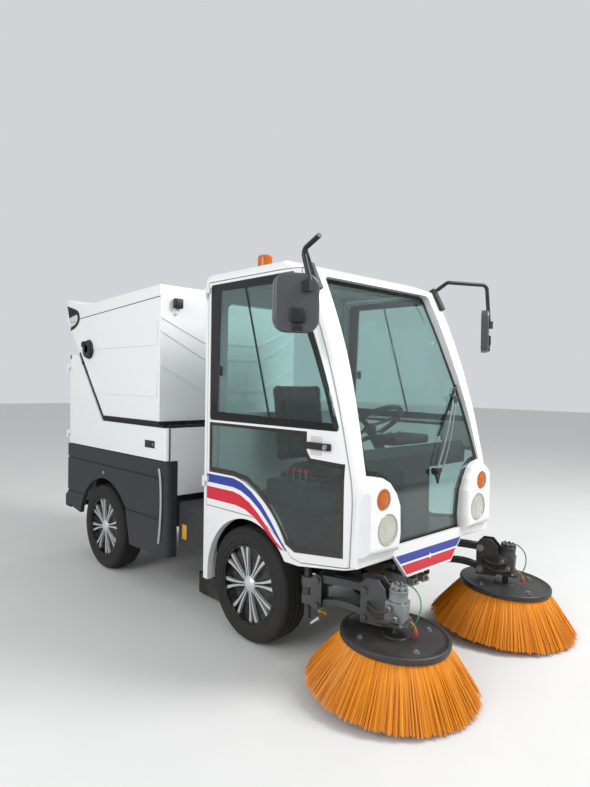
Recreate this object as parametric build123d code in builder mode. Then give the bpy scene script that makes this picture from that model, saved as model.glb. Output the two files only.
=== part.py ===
from build123d import *
from math import atan2, cos, radians, sin
import os

os.makedirs("parts", exist_ok=True)

# Compact street sweeper, all lengths in millimetres.
# The machine is drawn with x forward, y to its left and z up from the ground, on its own
# centreline, and each finished piece is moved so that the overall box is centred on the origin.
FRAME_MID_X = 262.0
FRAME_MID_Y = 64.0
TO_FRAME = Location((-FRAME_MID_X, -FRAME_MID_Y, 0.0))
SIDES = (("right", -1), ("left", 1))

# Wheels and axles
WHEELBASE = 1625.0
FRONT_AXLE_X = 800.0
REAR_AXLE_X = FRONT_AXLE_X - WHEELBASE
TYRE_RADIUS = 300.0
TYRE_WIDTH = 175.0
TYRE_SHOULDER = 26.0
WHEEL_OUTER_Y = 560.0
WHEEL_Y = WHEEL_OUTER_Y - TYRE_WIDTH / 2
RIM_RADIUS = 203.0
RIM_WALL = 8.0
RIM_SEAT_GAP = 0.3
SPOKE_PAIRS = 8
SPOKE_START = 12.0
SPOKE_REACH = 193.0
SPOKE_DEPTH = 21.0
DOME_RADIUS = 44.0
DOME_RIM = 66.0
DOME_TOP = 83.0
KINGPIN_Y = 380.0
KINGPIN_RADIUS = 14.0
KINGPIN_DROP = 68.0
KINGPIN_LENGTH = 136.0
AXLE_HALF_HEIGHT = 29.5
FORK_THICK = 16.0
HUB_RADIUS = 62.0
STUB_RADIUS = 20.0

# Cab
CAB_HALF = 575.0
CAB_BACK = 438.0
CAB_WALL = 38.0
CAB_CORNER = 58.0
ROOF_TOP = 1945.0
ROOF_SEAM = 1900.0
ROOF_WALL = 30.0
CAB_REAR_FOOT = 252.0
SILL_FRONT = 548.0
SILL_REAR = 495.0
NOSE = ((1190.0, 1889.0), (1376.0, 1462.0), (1483.0, 1103.0), (1516.0, 963.0), (1532.0, 806.0))
NOSE_TUCK = 0.043
GLASS = ((1157.0, 1866.0), (1352.0, 1430.0), (1505.0, 960.0), (1524.0, 800.0), (1513.0, 556.0))
GLASS_THICK = 6.0
FRONT_ARCH_X = 820.0
FRONT_ARCH_RADIUS = 345.0
DOOR_GAP = 5.0
DOOR_SET_BACK = 24.0
DOOR_THICK = 34.0
DOOR_INNER_Y = CAB_HALF - 43.0
DOOR_REAR = 464.0
DOOR_TOP = 1892.0
DOOR_SPLIT_Z = 1131.0
DOOR_HINGE_X = 452.0
DOOR_HINGE_OUT = 14.0
DOOR_HINGE_Z = (800.0, 1835.0)
KNUCKLE_RADIUS = 9.0
HINGE_PIN_RADIUS = 4.0
HINGE_RUNNING = 0.05
PANE_GAP = 0.4

# Rear body
BODY_HALF = 575.0
PANEL_THICK = 25.0
BODY_FRONT = 30.0
BODY_REAR = -1365.0
BODY_TOP = 1058.0
BODY_BEND_X = -819.0
BODY_SLOPE_TOP = (-1205.0, 1520.0)
BODY_REAR_TOP = 1538.0
SKIRT_TOP = 852.0
SKIRT_BOTTOM = 262.0
SKIRT_GAP = 6.0
DECK_Z = 1500.0
DUCT_RADIUS = 105.0
DUCT_LOW = (200.0, 135.0)
DUCT_HIGH = (-170.0, 1068.0)
BODY_CORNER = 48.0
COVER_CORNER = 20.0
COVER_INNER_Y = 550.5
BULKHEAD_HALF = 544.0
FRAME_Y = 530.0
FRAME_THICK = 30.0
FRAME_FRONT = BODY_FRONT - PANEL_THICK - 0.3
JOINT_GAP = 0.3
COVER_HINGE_X = BODY_REAR - 11.0
COVER_HINGE_Z = (930.0, 1440.0)
REAR_HINGE = (BODY_REAR - 34.0, 496.0)
REAR_HINGE_Z = (790.0, 1220.0)
ENGINE_DOOR_Z = 1005.0
ENGINE_DOOR_HEIGHT = 630.0

# Hopper
HOPPER_HALF = 569.0
HOPPER_FRONT = -55.0
HOPPER_FLOOR = 1076.0
HOPPER_WALL = 22.0
HOPPER_REAR_FOOT = (-1213.0, 1543.0)
HOPPER_PIVOT = (-1290.0, 1535.0)
HATCH_HINGE = (-1392.0, 1892.0)
HATCH_GAP = 7.0
LID_FRONT_TOP = 1944.0
TAIL_LOW = (-1350.0, 1714.0)
CHEVRONS = ((1752.0, 1613.0), (1668.0, 1508.0), (1458.0, 1292.0))
CHEVRON_WIDTH = 16.0
CAP_CENTRE = (-1043.0, 1571.0)
CAP_RADIUS = 60.0
LIFT_FOOT = (-1150.0, 500.0)
LIFT_EYE = (-1147.0, 1388.0)
LIFT_Y = 310.0

# Brush arms, drawn along their own direction from the swing post
POST_X = 1190.0
POST_Y = 500.0
POST_RADIUS = 17.0
ARM_ANGLE = {"right": 15.0, "left": 18.0}
LINK_REAR = 72.0
LINK_LENGTH = 240.0
LINK_UPPER_Z = 438.0
LINK_LOWER_Z = 318.0
BRUSH_REACH = 443.0
DISC_Z = 249.0
DISC_RADIUS = 243.0
BRUSH_LEAN = 4.0
BRISTLE_RADIUS = 380.0
BRISTLE_TOP_RADIUS = 224.0
BRISTLE_CLEAR = 1.0
MOTOR_RADIUS = 40.0


def side_plane(y):
    """Upright plane along the machine: local x is forward, local y is up, its normal is to the right."""
    return Plane.XZ.offset(-y)


def write(part, label):
    """Move a finished piece into the frame of the whole machine, name it and write its file."""
    piece = part.moved(TO_FRAME)
    piece.label = label
    export_step(piece, f"parts/{label}.step")


def nose_lines(back, foot):
    """Front edge of the cab from the roof down to a height, set back by a distance."""
    top, middle, low, chin, shin = [(x - back, z) for x, z in NOSE]
    with BuildLine() as lines:
        ThreePointArc(top, middle, low)
        Line(low, chin)
        TangentArc(chin, shin, tangent=(chin[0] - low[0], chin[1] - low[1]))
        Line(shin, (shin[0] - NOSE_TUCK * (shin[1] - foot), foot))
    return lines.line


def cab_form(inset):
    """Closed outer form of the cab, smaller by the inset on every side."""
    foot = 100.0
    top, shin = NOSE[0], NOSE[-1]
    roof_bend = (1040.0, ROOF_TOP)
    with BuildPart() as form:
        with BuildSketch(Plane.XZ) as profile:
            with BuildLine():
                add(nose_lines(0.0, foot))
                Polyline((shin[0] - NOSE_TUCK * (shin[1] - foot), foot), (CAB_BACK, foot),
                         (CAB_BACK, ROOF_TOP), roof_bend, top)
            make_face()
            bends = profile.vertices().filter_by(lambda v: v.Z > ROOF_TOP - 80 and v.X > CAB_BACK + 500)
            fillet(bends, CAB_CORNER)
            if inset:
                offset(amount=-inset, kind=Kind.INTERSECTION)
        extrude(amount=CAB_HALF - inset, both=True)
        back = CAB_BACK + inset + 2
        side_y = CAB_HALF - inset - 1
        side_edges = form.edges().filter_by(lambda e: abs(e.center().Y) > side_y)
        rim = side_edges.filter_by(lambda e: e.center().X > back and e.center().Z > foot + inset + 5)
        fillet(rim, max(CAB_CORNER - inset, 12.0))
    return form.part


def door_outline(grow):
    """Side view of a cab door, grown all round by a distance."""
    foot = (NOSE[-1][0] - DOOR_SET_BACK - NOSE_TUCK * (NOSE[-1][1] - SILL_FRONT - 8.0), SILL_FRONT + 8.0)
    top = (NOSE[0][0] - DOOR_SET_BACK, NOSE[0][1])
    with BuildSketch() as flat:
        with BuildLine():
            add(nose_lines(DOOR_SET_BACK, foot[1]))
            Polyline(foot, (1215.0, 516.0), (1150.0, 526.0))
            ThreePointArc((1150.0, 526.0), (1015.0, 622.0), (860.0, 668.0))
            Polyline((860.0, 668.0), (DOOR_REAR, 668.0), (DOOR_REAR, top[1]), top)
        make_face()
        with Locations((900.0, DOOR_TOP + 100.0)):
            Rectangle(1400, 200, mode=Mode.SUBTRACT)
        if grow:
            offset(amount=grow)
    return flat.sketch


def upper_pane(grow):
    """Side view of a door's upper window."""
    with BuildSketch() as flat:
        with BuildLine():
            low, high = DOOR_SPLIT_Z + 7.0, DOOR_TOP - 16.0
            ThreePointArc((1134.0, high), (1309.0, 1500.0), (1440.0, low))
            Polyline((1440.0, low), (482.0, low), (482.0, high), (1134.0, high))
        make_face()
        fillet(flat.vertices(), 14.0)
        if grow:
            offset(amount=grow)
    return flat.sketch


def lower_pane(grow):
    """Side view of a door's lower window, cut round the wheel below and the handle in front."""
    with BuildSketch() as flat:
        with BuildLine():
            Polyline((482.0, DOOR_SPLIT_Z - 4.0), (482.0, 852.0), (700.0, 852.0))
            ThreePointArc((700.0, 852.0), (950.0, 752.0), (1105.0, 578.0))
            Polyline((1105.0, 578.0), (1168.0, 552.0), (1474.0, 590.0), (1474.0, 1000.0), (1268.0, 1006.0),
                     (1243.0, 1040.0), (1243.0, DOOR_SPLIT_Z - 4.0), (482.0, DOOR_SPLIT_Z - 4.0))
        make_face()
        if grow:
            offset(amount=grow)
    return flat.sketch


def bowed_link(length, depth, bow):
    """Side view of a link, from its rear pin at the origin to its front pin, bowed up in the middle."""
    half = depth / 2
    with BuildSketch() as flat:
        with BuildLine():
            ThreePointArc((0, half), (length / 2, bow + half), (length, half))
            Line((length, half), (length, -half))
            ThreePointArc((length, -half), (length / 2, bow - half), (0, -half))
            Line((0, -half), (0, half))
        make_face()
        with Locations((0, 0), (length, 0)):
            Circle(half)
    return flat.sketch


def screen_outline(grow):
    """Front view of the windscreen, narrowed below by the two lamp pods."""
    half = ((289.0, 596.0), (274.0, 674.0), (280.0, 803.0), (309.0, 862.0), (356.0, 912.0), (402.0, 934.0),
            (484.0, 947.0), (470.0, 1187.0), (446.0, 1495.0), (434.0, 1848.0), (416.0, 1862.0))
    mirrored = [(-y, z) for y, z in reversed(half)]
    with BuildSketch() as flat:
        Polygon(*half, *mirrored, align=None)
        if grow:
            offset(amount=grow, kind=Kind.INTERSECTION)
    return flat.sketch


# Cab shell: pillars, rear wall, front corners and fenders in one welded frame
with BuildPart() as cab_shell:
    add(cab_form(0.0))
    add(cab_form(CAB_WALL), mode=Mode.SUBTRACT)

with BuildPart() as cab_frame:
    add(cab_shell.part)
    with BuildSketch(Plane.XY.offset(ROOF_SEAM)):
        Rectangle(3000, 1400)
    extrude(amount=200, mode=Mode.SUBTRACT)
    # below the sills, round the wheels and under the middle of the rear wall the frame is open
    with BuildSketch(Plane.XZ):
        with BuildLine():
            Polyline((1700, 0), (1700, SILL_FRONT), (1516, SILL_FRONT), (1198, SILL_REAR), (1103, SILL_REAR))
            ThreePointArc((1103, SILL_REAR), (FRONT_ARCH_X, 300 + FRONT_ARCH_RADIUS), (478, 300))
            Polyline((478, 300), (478, CAB_REAR_FOOT), (400, CAB_REAR_FOOT), (400, 0), (1700, 0))
        make_face()
    extrude(amount=700, both=True, mode=Mode.SUBTRACT)
    with BuildSketch(Plane.YZ.offset(400)):
        with Locations((0, 345)):
            Rectangle(1020, 640)
    extrude(amount=90, mode=Mode.SUBTRACT)
    with BuildSketch(Plane.YZ.offset(400)):
        with Locations((0, 1480)):
            RectangleRounded(900, 620, 40)
    extrude(amount=90, mode=Mode.SUBTRACT)
    with BuildSketch(Plane.YZ.offset(1020)):
        add(screen_outline(0.0))
    extrude(amount=700, mode=Mode.SUBTRACT)
    for _, side in SIDES:
        with BuildSketch(side_plane(side * (DOOR_INNER_Y - 32))):
            add(door_outline(DOOR_GAP))
        extrude(amount=-side * 120, mode=Mode.SUBTRACT)
    # hinge lugs on the rear pillars, with the pins that the doors turn on
    for _, side in SIDES:
        hinge_y = side * (CAB_HALF + DOOR_HINGE_OUT)
        for hinge_z in DOOR_HINGE_Z:
            with BuildSketch(Plane.XY.offset(hinge_z - 28)):
                with Locations((DOOR_HINGE_X, hinge_y)):
                    Circle(KNUCKLE_RADIUS)
                with Locations((DOOR_HINGE_X - 3, side * (CAB_HALF - 4))):
                    Rectangle(16, 34)
            extrude(amount=27.5)
            with BuildSketch(Plane.XY.offset(hinge_z - 10)):
                with Locations((DOOR_HINGE_X, hinge_y)):
                    Circle(HINGE_PIN_RADIUS)
            extrude(amount=40)
write(cab_frame.part, "cab_frame")

with BuildPart() as cab_roof:
    add(cab_form(0.0))
    add(cab_form(ROOF_WALL), mode=Mode.SUBTRACT)
    with BuildSketch(Plane.XY.offset(ROOF_SEAM)):
        Rectangle(3400, 1400)
    extrude(amount=-2000, mode=Mode.SUBTRACT)
write(cab_roof.part, "cab_roof")

with BuildPart() as cab_floor:
    with BuildSketch(Plane.XZ):
        with BuildLine() as tread:
            Polyline((470, 700), (950, 700), (1150, 572), (1490, 572))
            offset(amount=18, side=Side.RIGHT)
        make_face()
    extrude(amount=DOOR_INNER_Y - 8.0, both=True)
    add(cab_form(CAB_WALL + 0.3), mode=Mode.INTERSECT)
write(cab_floor.part, "cab_floor")

# Windscreen and rear window
with BuildPart() as windscreen:
    with BuildSketch(Plane.XZ):
        with BuildLine():
            for back in (0.0, GLASS_THICK):
                top, middle, low, chin, foot = [(x - back, z) for x, z in GLASS]
                ThreePointArc(top, middle, low)
                TangentArc(low, chin, tangent=(low[0] - middle[0] + 10.0, low[1] - middle[1]))
                Line(chin, foot)
            for x, z in (GLASS[0], GLASS[-1]):
                Line((x, z), (x - GLASS_THICK, z))
        make_face()
    extrude(amount=600, both=True)
    with BuildSketch(Plane.YZ.offset(1000)):
        add(screen_outline(-PANE_GAP))
    extrude(amount=800, mode=Mode.INTERSECT)
write(windscreen.part, "windscreen")

with BuildPart() as rear_window:
    with BuildSketch(Plane.YZ.offset(CAB_BACK + 12)):
        with Locations((0, 1480)):
            RectangleRounded(900 - 2 * PANE_GAP, 620 - 2 * PANE_GAP, 40 - PANE_GAP)
    extrude(amount=5)
write(rear_window.part, "rear_window")

# Lower front panel with the two lamp pods and the drop in the middle
POD_FACE = 1574.0
POD_ROUND = 34.0
SCOOP_RADIUS = 118.0
SCOOP_X = 1650.0
SCOOP_Y = 602.0
HEADLAMP_Y = 391.0
HEADLAMP_Z = 704.0
HEADLAMP_RADIUS = 70.0
INDICATOR_Y = 424.0
INDICATOR_Z = 843.0
INDICATOR_RADIUS = 46.0
LAMP_RECESS = 10.0
LAMP_GAP = 3.0
with BuildPart() as front_panel:
    pod_half = ((289.0, 592.0), (274.0, 674.0), (280.0, 803.0), (309.0, 862.0), (356.0, 912.0),
                (402.0, 934.0))
    for _, side in SIDES:
        with BuildSketch(Plane.YZ.offset(1480)):
            with BuildLine():
                Polyline(*[(side * y, z) for y, z in pod_half])
                ThreePointArc((side * 402.0, 934.0), (side * 490.0, 920.0), (side * 548.0, 860.0))
                Polyline((side * 548.0, 860.0), (side * 556.0, 604.0), (side * 289.0, 592.0))
            make_face()
        extrude(amount=POD_FACE - 1480)
    front_rim = front_panel.faces().filter_by(Axis.X).sort_by(Axis.X)[-2:].edges()
    fillet(front_rim, POD_ROUND)
    # hollow scoop down the outer side of each pod, and the round seats of its lamps
    for _, side in SIDES:
        with BuildSketch(Plane.XY.offset(560)):
            with Locations((SCOOP_X, side * SCOOP_Y)):
                Circle(SCOOP_RADIUS)
        extrude(amount=400, mode=Mode.SUBTRACT)
        with BuildSketch(Plane.YZ.offset(POD_FACE - LAMP_RECESS)):
            with Locations((side * HEADLAMP_Y, HEADLAMP_Z)):
                Circle(HEADLAMP_RADIUS + LAMP_GAP)
            with Locations((side * INDICATOR_Y, INDICATOR_Z)):
                Circle(INDICATOR_RADIUS + LAMP_GAP)
        extrude(amount=60, mode=Mode.SUBTRACT)
    with BuildSketch(Plane.YZ.offset(1480)):
        Polygon((-552, 608), (552, 608), (556, 556), (300, 566), (188, 444), (-188, 444),
                (-300, 566), (-556, 556), align=None)
    extrude(amount=58)
    add(cab_form(0.0), mode=Mode.SUBTRACT)
    with BuildSketch(Plane.XZ):
        Polygon((1400, 400), (1504, 400), (1504, 560), (1400, 700), align=None)
    extrude(amount=700, both=True, mode=Mode.SUBTRACT)
write(front_panel.part, "front_panel")

with BuildPart() as headlamps:
    for _, side in SIDES:
        with BuildSketch(Plane.YZ.offset(POD_FACE - LAMP_RECESS + 0.2)):
            with Locations((side * HEADLAMP_Y, HEADLAMP_Z)):
                Circle(HEADLAMP_RADIUS)
        extrude(amount=LAMP_RECESS + 3)
    fillet(headlamps.faces().filter_by(Axis.X).sort_by(Axis.X)[-2:].edges(), 6)
write(headlamps.part, "headlamps")

with BuildPart() as indicators:
    for _, side in SIDES:
        with BuildSketch(Plane.YZ.offset(POD_FACE - LAMP_RECESS + 0.2)):
            with Locations((side * INDICATOR_Y, INDICATOR_Z)):
                Circle(INDICATOR_RADIUS)
        extrude(amount=LAMP_RECESS + 7)
    fillet(indicators.faces().filter_by(Axis.X).sort_by(Axis.X)[-2:].edges(), 9)
write(indicators.part, "indicators")

# Doors: a frame that follows the cab's form, with an upper and a lower window
for name, side in SIDES:
    with BuildPart() as slab:
        with BuildSketch(side_plane(side * DOOR_INNER_Y)):
            add(door_outline(0.0))
        extrude(amount=-side * 100)
        add(cab_form(0.0), mode=Mode.INTERSECT)
        add(cab_form(DOOR_THICK), mode=Mode.SUBTRACT)
    with BuildPart() as door:
        add(slab.part)
        with BuildSketch(Plane.XZ):
            add(upper_pane(0.0))
            add(lower_pane(0.0))
        extrude(amount=-side * 700, mode=Mode.SUBTRACT)
        hinge_y = side * (CAB_HALF + DOOR_HINGE_OUT)
        for hinge_z in DOOR_HINGE_Z:
            with BuildSketch(Plane.XY.offset(hinge_z)):
                with Locations((DOOR_HINGE_X, hinge_y)):
                    Circle(KNUCKLE_RADIUS)
                with Locations((DOOR_HINGE_X + 15, side * (CAB_HALF + 9))):
                    Rectangle(30, 9)
                with Locations((DOOR_HINGE_X + 22, side * (CAB_HALF + 4))):
                    Rectangle(16, 16)
                with Locations((DOOR_HINGE_X, hinge_y)):
                    Circle(HINGE_PIN_RADIUS + HINGE_RUNNING, mode=Mode.SUBTRACT)
            extrude(amount=28)
        # handle with its lock
        with BuildSketch(Plane.XZ.offset(-side * (CAB_HALF - 1))):
            with Locations((1325, 1066)):
                RectangleRounded(132, 30, 6)
        extrude(amount=-side * 16)
    write(door.part, f"door_{name}")
    with BuildPart() as glass:
        with BuildSketch(Plane.XZ):
            add(upper_pane(-PANE_GAP))
            add(lower_pane(-PANE_GAP))
        extrude(amount=-side * 700)
        add(cab_form(3.0), mode=Mode.INTERSECT)
        add(cab_form(3.0 + GLASS_THICK), mode=Mode.SUBTRACT)
        with BuildSketch(Plane.XZ):
            Rectangle(5000, 5000)
        extrude(amount=500, both=True, mode=Mode.SUBTRACT)
    write(glass.part, f"door_glass_{name}")

# Inside the cab
SEAT_X = 800.0
SEAT_Z = 700.3
with BuildPart() as driver_seat:
    with BuildSketch(Plane.XZ):
        with BuildLine():
            Polyline((620, SEAT_Z), (980, SEAT_Z), (980, 800), (1070, 830), (1085, 870), (1040, 905),
                     (720, 880), (655, 1300), (620, 1372), (565, 1368), (562, 1150), (590, 860),
                     (620, SEAT_Z))
        make_face()
    extrude(amount=225, both=True)
    seat_rims = driver_seat.faces().filter_by(Axis.Y).edges()
    fillet(seat_rims, 16)
write(driver_seat.part, "driver_seat")

STEER_TILT = radians(35)
STEER_AXIS = (-sin(STEER_TILT), 0, cos(STEER_TILT))
STEER_CENTRE = Plane(origin=(1135.0, 0.0, 1120.0), x_dir=(0, 1, 0), z_dir=STEER_AXIS)
with BuildPart() as dashboard:
    with BuildSketch(Plane.XZ):
        Polygon((1255, 1010), (1440, 1048), (1462, 1000), (1458, 930), (1258, 918), align=None)
    extrude(amount=430, both=True)
    with BuildSketch(Plane.XZ):
        Polygon((1330, 572.3), (1450, 572.3), (1450, 960), (1300, 960), align=None)
    extrude(amount=110, both=True)
    # column up to the steering wheel
    with BuildSketch(STEER_CENTRE.offset(-24)):
        Circle(26)
    extrude(amount=-230)
write(dashboard.part, "dashboard")

STEER_RING = 190.0
with BuildPart() as steering_wheel:
    with BuildSketch(Plane(origin=STEER_CENTRE.origin, x_dir=STEER_CENTRE.x_dir, z_dir=-STEER_CENTRE.y_dir)):
        with Locations((STEER_RING, 0)):
            Circle(13)
    revolve(axis=Axis(STEER_CENTRE.origin, STEER_CENTRE.z_dir))
    with BuildSketch(STEER_CENTRE.offset(-23.5)):
        Circle(34)
    extrude(amount=23.5)
    with BuildSketch(STEER_CENTRE.offset(-6)):
        for spoke_angle in (90, 210, 330):
            with PolarLocations(0, 1, start_angle=spoke_angle):
                with Locations((STEER_RING / 2, 0)):
                    Rectangle(STEER_RING, 26)
    extrude(amount=8)
write(steering_wheel.part, "steering_wheel")

# Things on the outside of the cab
BEACON_X = 626.0
BEACON_Y = -313.0
BEACON_RADIUS = 42.0
BEACON_HEIGHT = 118.0
with BuildPart() as beacon:
    with BuildSketch(Plane.XY.offset(ROOF_TOP)):
        with Locations((BEACON_X, BEACON_Y)):
            Circle(BEACON_RADIUS + 10)
    extrude(amount=26)
    with BuildSketch(Plane.XY.offset(ROOF_TOP + 25)):
        with Locations((BEACON_X, BEACON_Y)):
            Circle(BEACON_RADIUS)
    extrude(amount=BEACON_HEIGHT - 25)
    fillet(beacon.faces().sort_by(Axis.Z)[-1].edges(), 15)
write(beacon.part, "beacon")

# each mirror hangs from a bent tube on a bracket that runs down the pillar; the right tube stands
# on a short strut, swung to the front, and the left one reaches out sideways
MIRROR_TUBES = {
    "right": ((1487.0, -765.0, 1948.0), (1372.0, -745.0, 1908.0), (1428.0, -752.0, 1752.0)),
    "left": ((1200.0, 520.0, 1900.0), (1254.0, 562.0, 1952.0),
             (1380.0, 790.0, 1950.0), (1392.0, 806.0, 1716.0)),
}
MIRROR_STRUTS = {
    "right": ((1228.0, -512.0, 1812.0), (1385.0, -747.0, 1917.0)),
    "left": ((1228.0, 512.0, 1812.0), (1204.0, 520.0, 1902.0)),
}
MIRROR_HEADS = {"right": (1371.0, -782.0, 1682.0), "left": (1371.0, 782.0, 1672.0)}
MIRROR_TUBE_RADIUS = 11.0
mirror_shells = []
for name, side in SIDES:
    head = Plane(origin=MIRROR_HEADS[name], x_dir=(side * 0.48, -0.877, 0), z_dir=(0.877, side * 0.48, 0))
    with BuildPart() as shell:
        with BuildSketch(head.offset(-14)):
            RectangleRounded(192, 244, 56)
        extrude(amount=42)
        fillet(shell.faces().sort_by(Axis(head.origin, head.z_dir))[-1].edges(), 16)
    mirror_shells.append(shell.part)
with BuildPart() as mirrors:
    add(mirror_shells)
    for name, side in SIDES:
        with BuildLine() as tube_path:
            FilletPolyline(*MIRROR_TUBES[name], radius=30)
        with BuildSketch(Plane(origin=tube_path.line @ 0, z_dir=tube_path.line % 0)):
            Circle(MIRROR_TUBE_RADIUS)
        sweep(path=tube_path.line)
        with BuildLine() as strut_path:
            Line(*MIRROR_STRUTS[name])
        with BuildSketch(Plane(origin=strut_path.line @ 0, z_dir=strut_path.line % 0)):
            Circle(8)
        sweep(path=strut_path.line)
        # bracket down the pillar
        with BuildSketch(side_plane(side * 500)):
            Polygon((1168, 1902), (1196, 1916), (1262, 1792), (1236, 1780), align=None)
        extrude(amount=-side * 34)
        # clamp between the tube and the shell
        tube_end = Vector(*MIRROR_TUBES[name][-1])
        centre = Vector(*MIRROR_HEADS[name])
        with BuildSketch(Plane.XY.offset(tube_end.Z - 26)):
            with Locations(((tube_end.X + centre.X) / 2 + 6, (tube_end.Y + centre.Y) / 2)):
                Rectangle(tube_end.X - centre.X + 34, 34)
        extrude(amount=44)
    add(cab_form(0.0), mode=Mode.SUBTRACT)
write(mirrors.part, "mirrors")

with BuildPart() as wiper:
    # pivot on the lower screen, two thin rods, their bracket at the top and the blade that hangs from it
    foot = Vector(1520.0, 42.0, 919.0)
    tip = Vector(1417.0, 462.0, 1356.0)
    blade_low = Vector(1478.0, 150.0, 1088.0)
    for shift in (-9.0, 9.0):
        start = foot + Vector(0, shift, 0)
        stop = tip + Vector(0, shift, 0)
        with BuildLine() as rod:
            Line(start, stop)
        with BuildSketch(Plane(origin=rod.line @ 0, z_dir=rod.line % 0)):
            Circle(4)
        sweep(path=rod.line)
    with BuildSketch(Plane.YZ.offset(1512)):
        with Locations((42, 919)):
            Circle(20)
    extrude(amount=18)
    screen_out = Vector(0.95, 0, 0.31)
    with BuildSketch(Plane(origin=tip, z_dir=screen_out)):
        RectangleRounded(40, 58, 8)
    extrude(amount=7, both=True)
    with BuildLine() as blade:
        Line(tip + Vector(0, -22, 0), blade_low)
    with BuildSketch(Plane(origin=blade.line @ 0, x_dir=screen_out, z_dir=blade.line % 0)):
        Rectangle(12, 9)
    sweep(path=blade.line)
    add(windscreen.part, mode=Mode.SUBTRACT)
    add(cab_frame.part, mode=Mode.SUBTRACT)
write(wiper.part, "wiper")

# Chassis: two rails, cross-members, arm brackets and the feet of the lift cylinders
RAIL_Y = 200.0
RAIL_WIDTH = 50.0
RAIL_FRONT = 1300.0
RAIL_REAR = BODY_REAR + 30.3
RAIL_LOW = 330.0
RAIL_HIGH = 410.0
with BuildPart() as chassis_frame:
    for _, side in SIDES:
        with BuildSketch(side_plane(side * RAIL_Y)):
            with Locations(((RAIL_FRONT + RAIL_REAR) / 2, (RAIL_LOW + RAIL_HIGH) / 2)):
                Rectangle(RAIL_FRONT - RAIL_REAR, RAIL_HIGH - RAIL_LOW)
        extrude(amount=RAIL_WIDTH / 2, both=True)
    for member_x in (1215.0, 380.0, -60.0, -560.0, BODY_REAR + 65.0):
        with BuildSketch(Plane.YZ.offset(member_x - 25)):
            with Locations((0, 370)):
                Rectangle(2 * RAIL_Y, 60)
        extrude(amount=50)
    # the front member reaches out to the swing posts, and carries a bored lug above and below each arm
    with BuildSketch(Plane.XY.offset(352)):
        for _, side in SIDES:
            with Locations((POST_X - 7, side * 330.0)):
                Rectangle(48, 240)
    extrude(amount=36)
    for _, side in SIDES:
        with BuildSketch(Plane.XY.offset(232)):
            with Locations((POST_X, side * POST_Y)):
                Circle(POST_RADIUS)
        extrude(amount=250)
        with BuildSketch(Plane.XY.offset(352)):
            with Locations((POST_X, side * POST_Y)):
                Circle(27)
            with Locations((POST_X - 7, side * (POST_Y - 45))):
                Rectangle(40, 90)
        extrude(amount=36)
    # cab and body mounts
    for mount_x, mount_top in ((520.0, 681.7), (900.0, 681.7)):
        for _, side in SIDES:
            with BuildSketch(Plane.XY.offset(RAIL_HIGH - 1)):
                with Locations((mount_x, side * RAIL_Y)):
                    Rectangle(50, 46)
            extrude(amount=mount_top - RAIL_HIGH + 1)
    # ears for the feet of the lift cylinders
    with BuildSketch(Plane.YZ.offset(LIFT_FOOT[0] - 25)):
        with Locations((0, 432)):
            Rectangle(2 * LIFT_Y + 58, 44)
    extrude(amount=50)
    for _, side in SIDES:
        for ear in (-24.0, 24.0):
            with BuildSketch(side_plane(side * LIFT_Y + ear)):
                with Locations(LIFT_FOOT):
                    Circle(24)
                with Locations((LIFT_FOOT[0], LIFT_FOOT[1] - 30)):
                    Rectangle(48, 60)
            extrude(amount=5, both=True)
        with BuildSketch(side_plane(side * LIFT_Y)):
            with Locations(LIFT_FOOT):
                Circle(11)
        extrude(amount=29, both=True)
write(chassis_frame.part, "chassis_frame")

with BuildPart() as front_axle:
    axle_low = TYRE_RADIUS - AXLE_HALF_HEIGHT
    axle_high = RAIL_LOW - 0.5
    with BuildSketch(Plane.XZ):
        with Locations((FRONT_AXLE_X, (axle_low + axle_high) / 2)):
            Rectangle(70, axle_high - axle_low)
    extrude(amount=325, both=True)
    for _, side in SIDES:
        # forked end with the kingpin through it
        with BuildSketch(side_plane(side * 325)):
            with Locations((FRONT_AXLE_X, TYRE_RADIUS)):
                Rectangle(60, 150)
        extrude(amount=14, both=True)
        for fork_z in (TYRE_RADIUS - KINGPIN_DROP, TYRE_RADIUS + KINGPIN_DROP - FORK_THICK):
            with BuildSketch(Plane.XY.offset(fork_z)):
                with Locations((FRONT_AXLE_X, side * 350)):
                    Rectangle(60, 60)
                with Locations((FRONT_AXLE_X, side * KINGPIN_Y)):
                    Circle(30)
            extrude(amount=FORK_THICK)
        with BuildSketch(Plane.XY.offset(TYRE_RADIUS - KINGPIN_DROP)):
            with Locations((FRONT_AXLE_X, side * KINGPIN_Y)):
                Circle(KINGPIN_RADIUS)
        extrude(amount=KINGPIN_LENGTH)
write(front_axle.part, "front_axle")

for name, side in SIDES:
    with BuildPart() as knuckle:
        with BuildSketch(Plane.XY.offset(TYRE_RADIUS - 51.5)):
            with Locations((FRONT_AXLE_X, side * KINGPIN_Y)):
                Circle(29)
        extrude(amount=103)
        with BuildSketch(side_plane(side * (KINGPIN_Y + 10))):
            with Locations((FRONT_AXLE_X, TYRE_RADIUS)):
                Circle(34)
        extrude(amount=-side * 40)
        with BuildSketch(side_plane(side * (KINGPIN_Y + 50))):
            with Locations((FRONT_AXLE_X, TYRE_RADIUS)):
                Circle(STUB_RADIUS)
        extrude(amount=-side * (WHEEL_Y + 44 - KINGPIN_Y - 50))
        with BuildSketch(Plane.XY.offset(TYRE_RADIUS - 52)):
            with Locations((FRONT_AXLE_X, side * KINGPIN_Y)):
                Circle(KINGPIN_RADIUS + HINGE_RUNNING)
        extrude(amount=104, mode=Mode.SUBTRACT)
    write(knuckle.part, f"knuckle_{name}")

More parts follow.
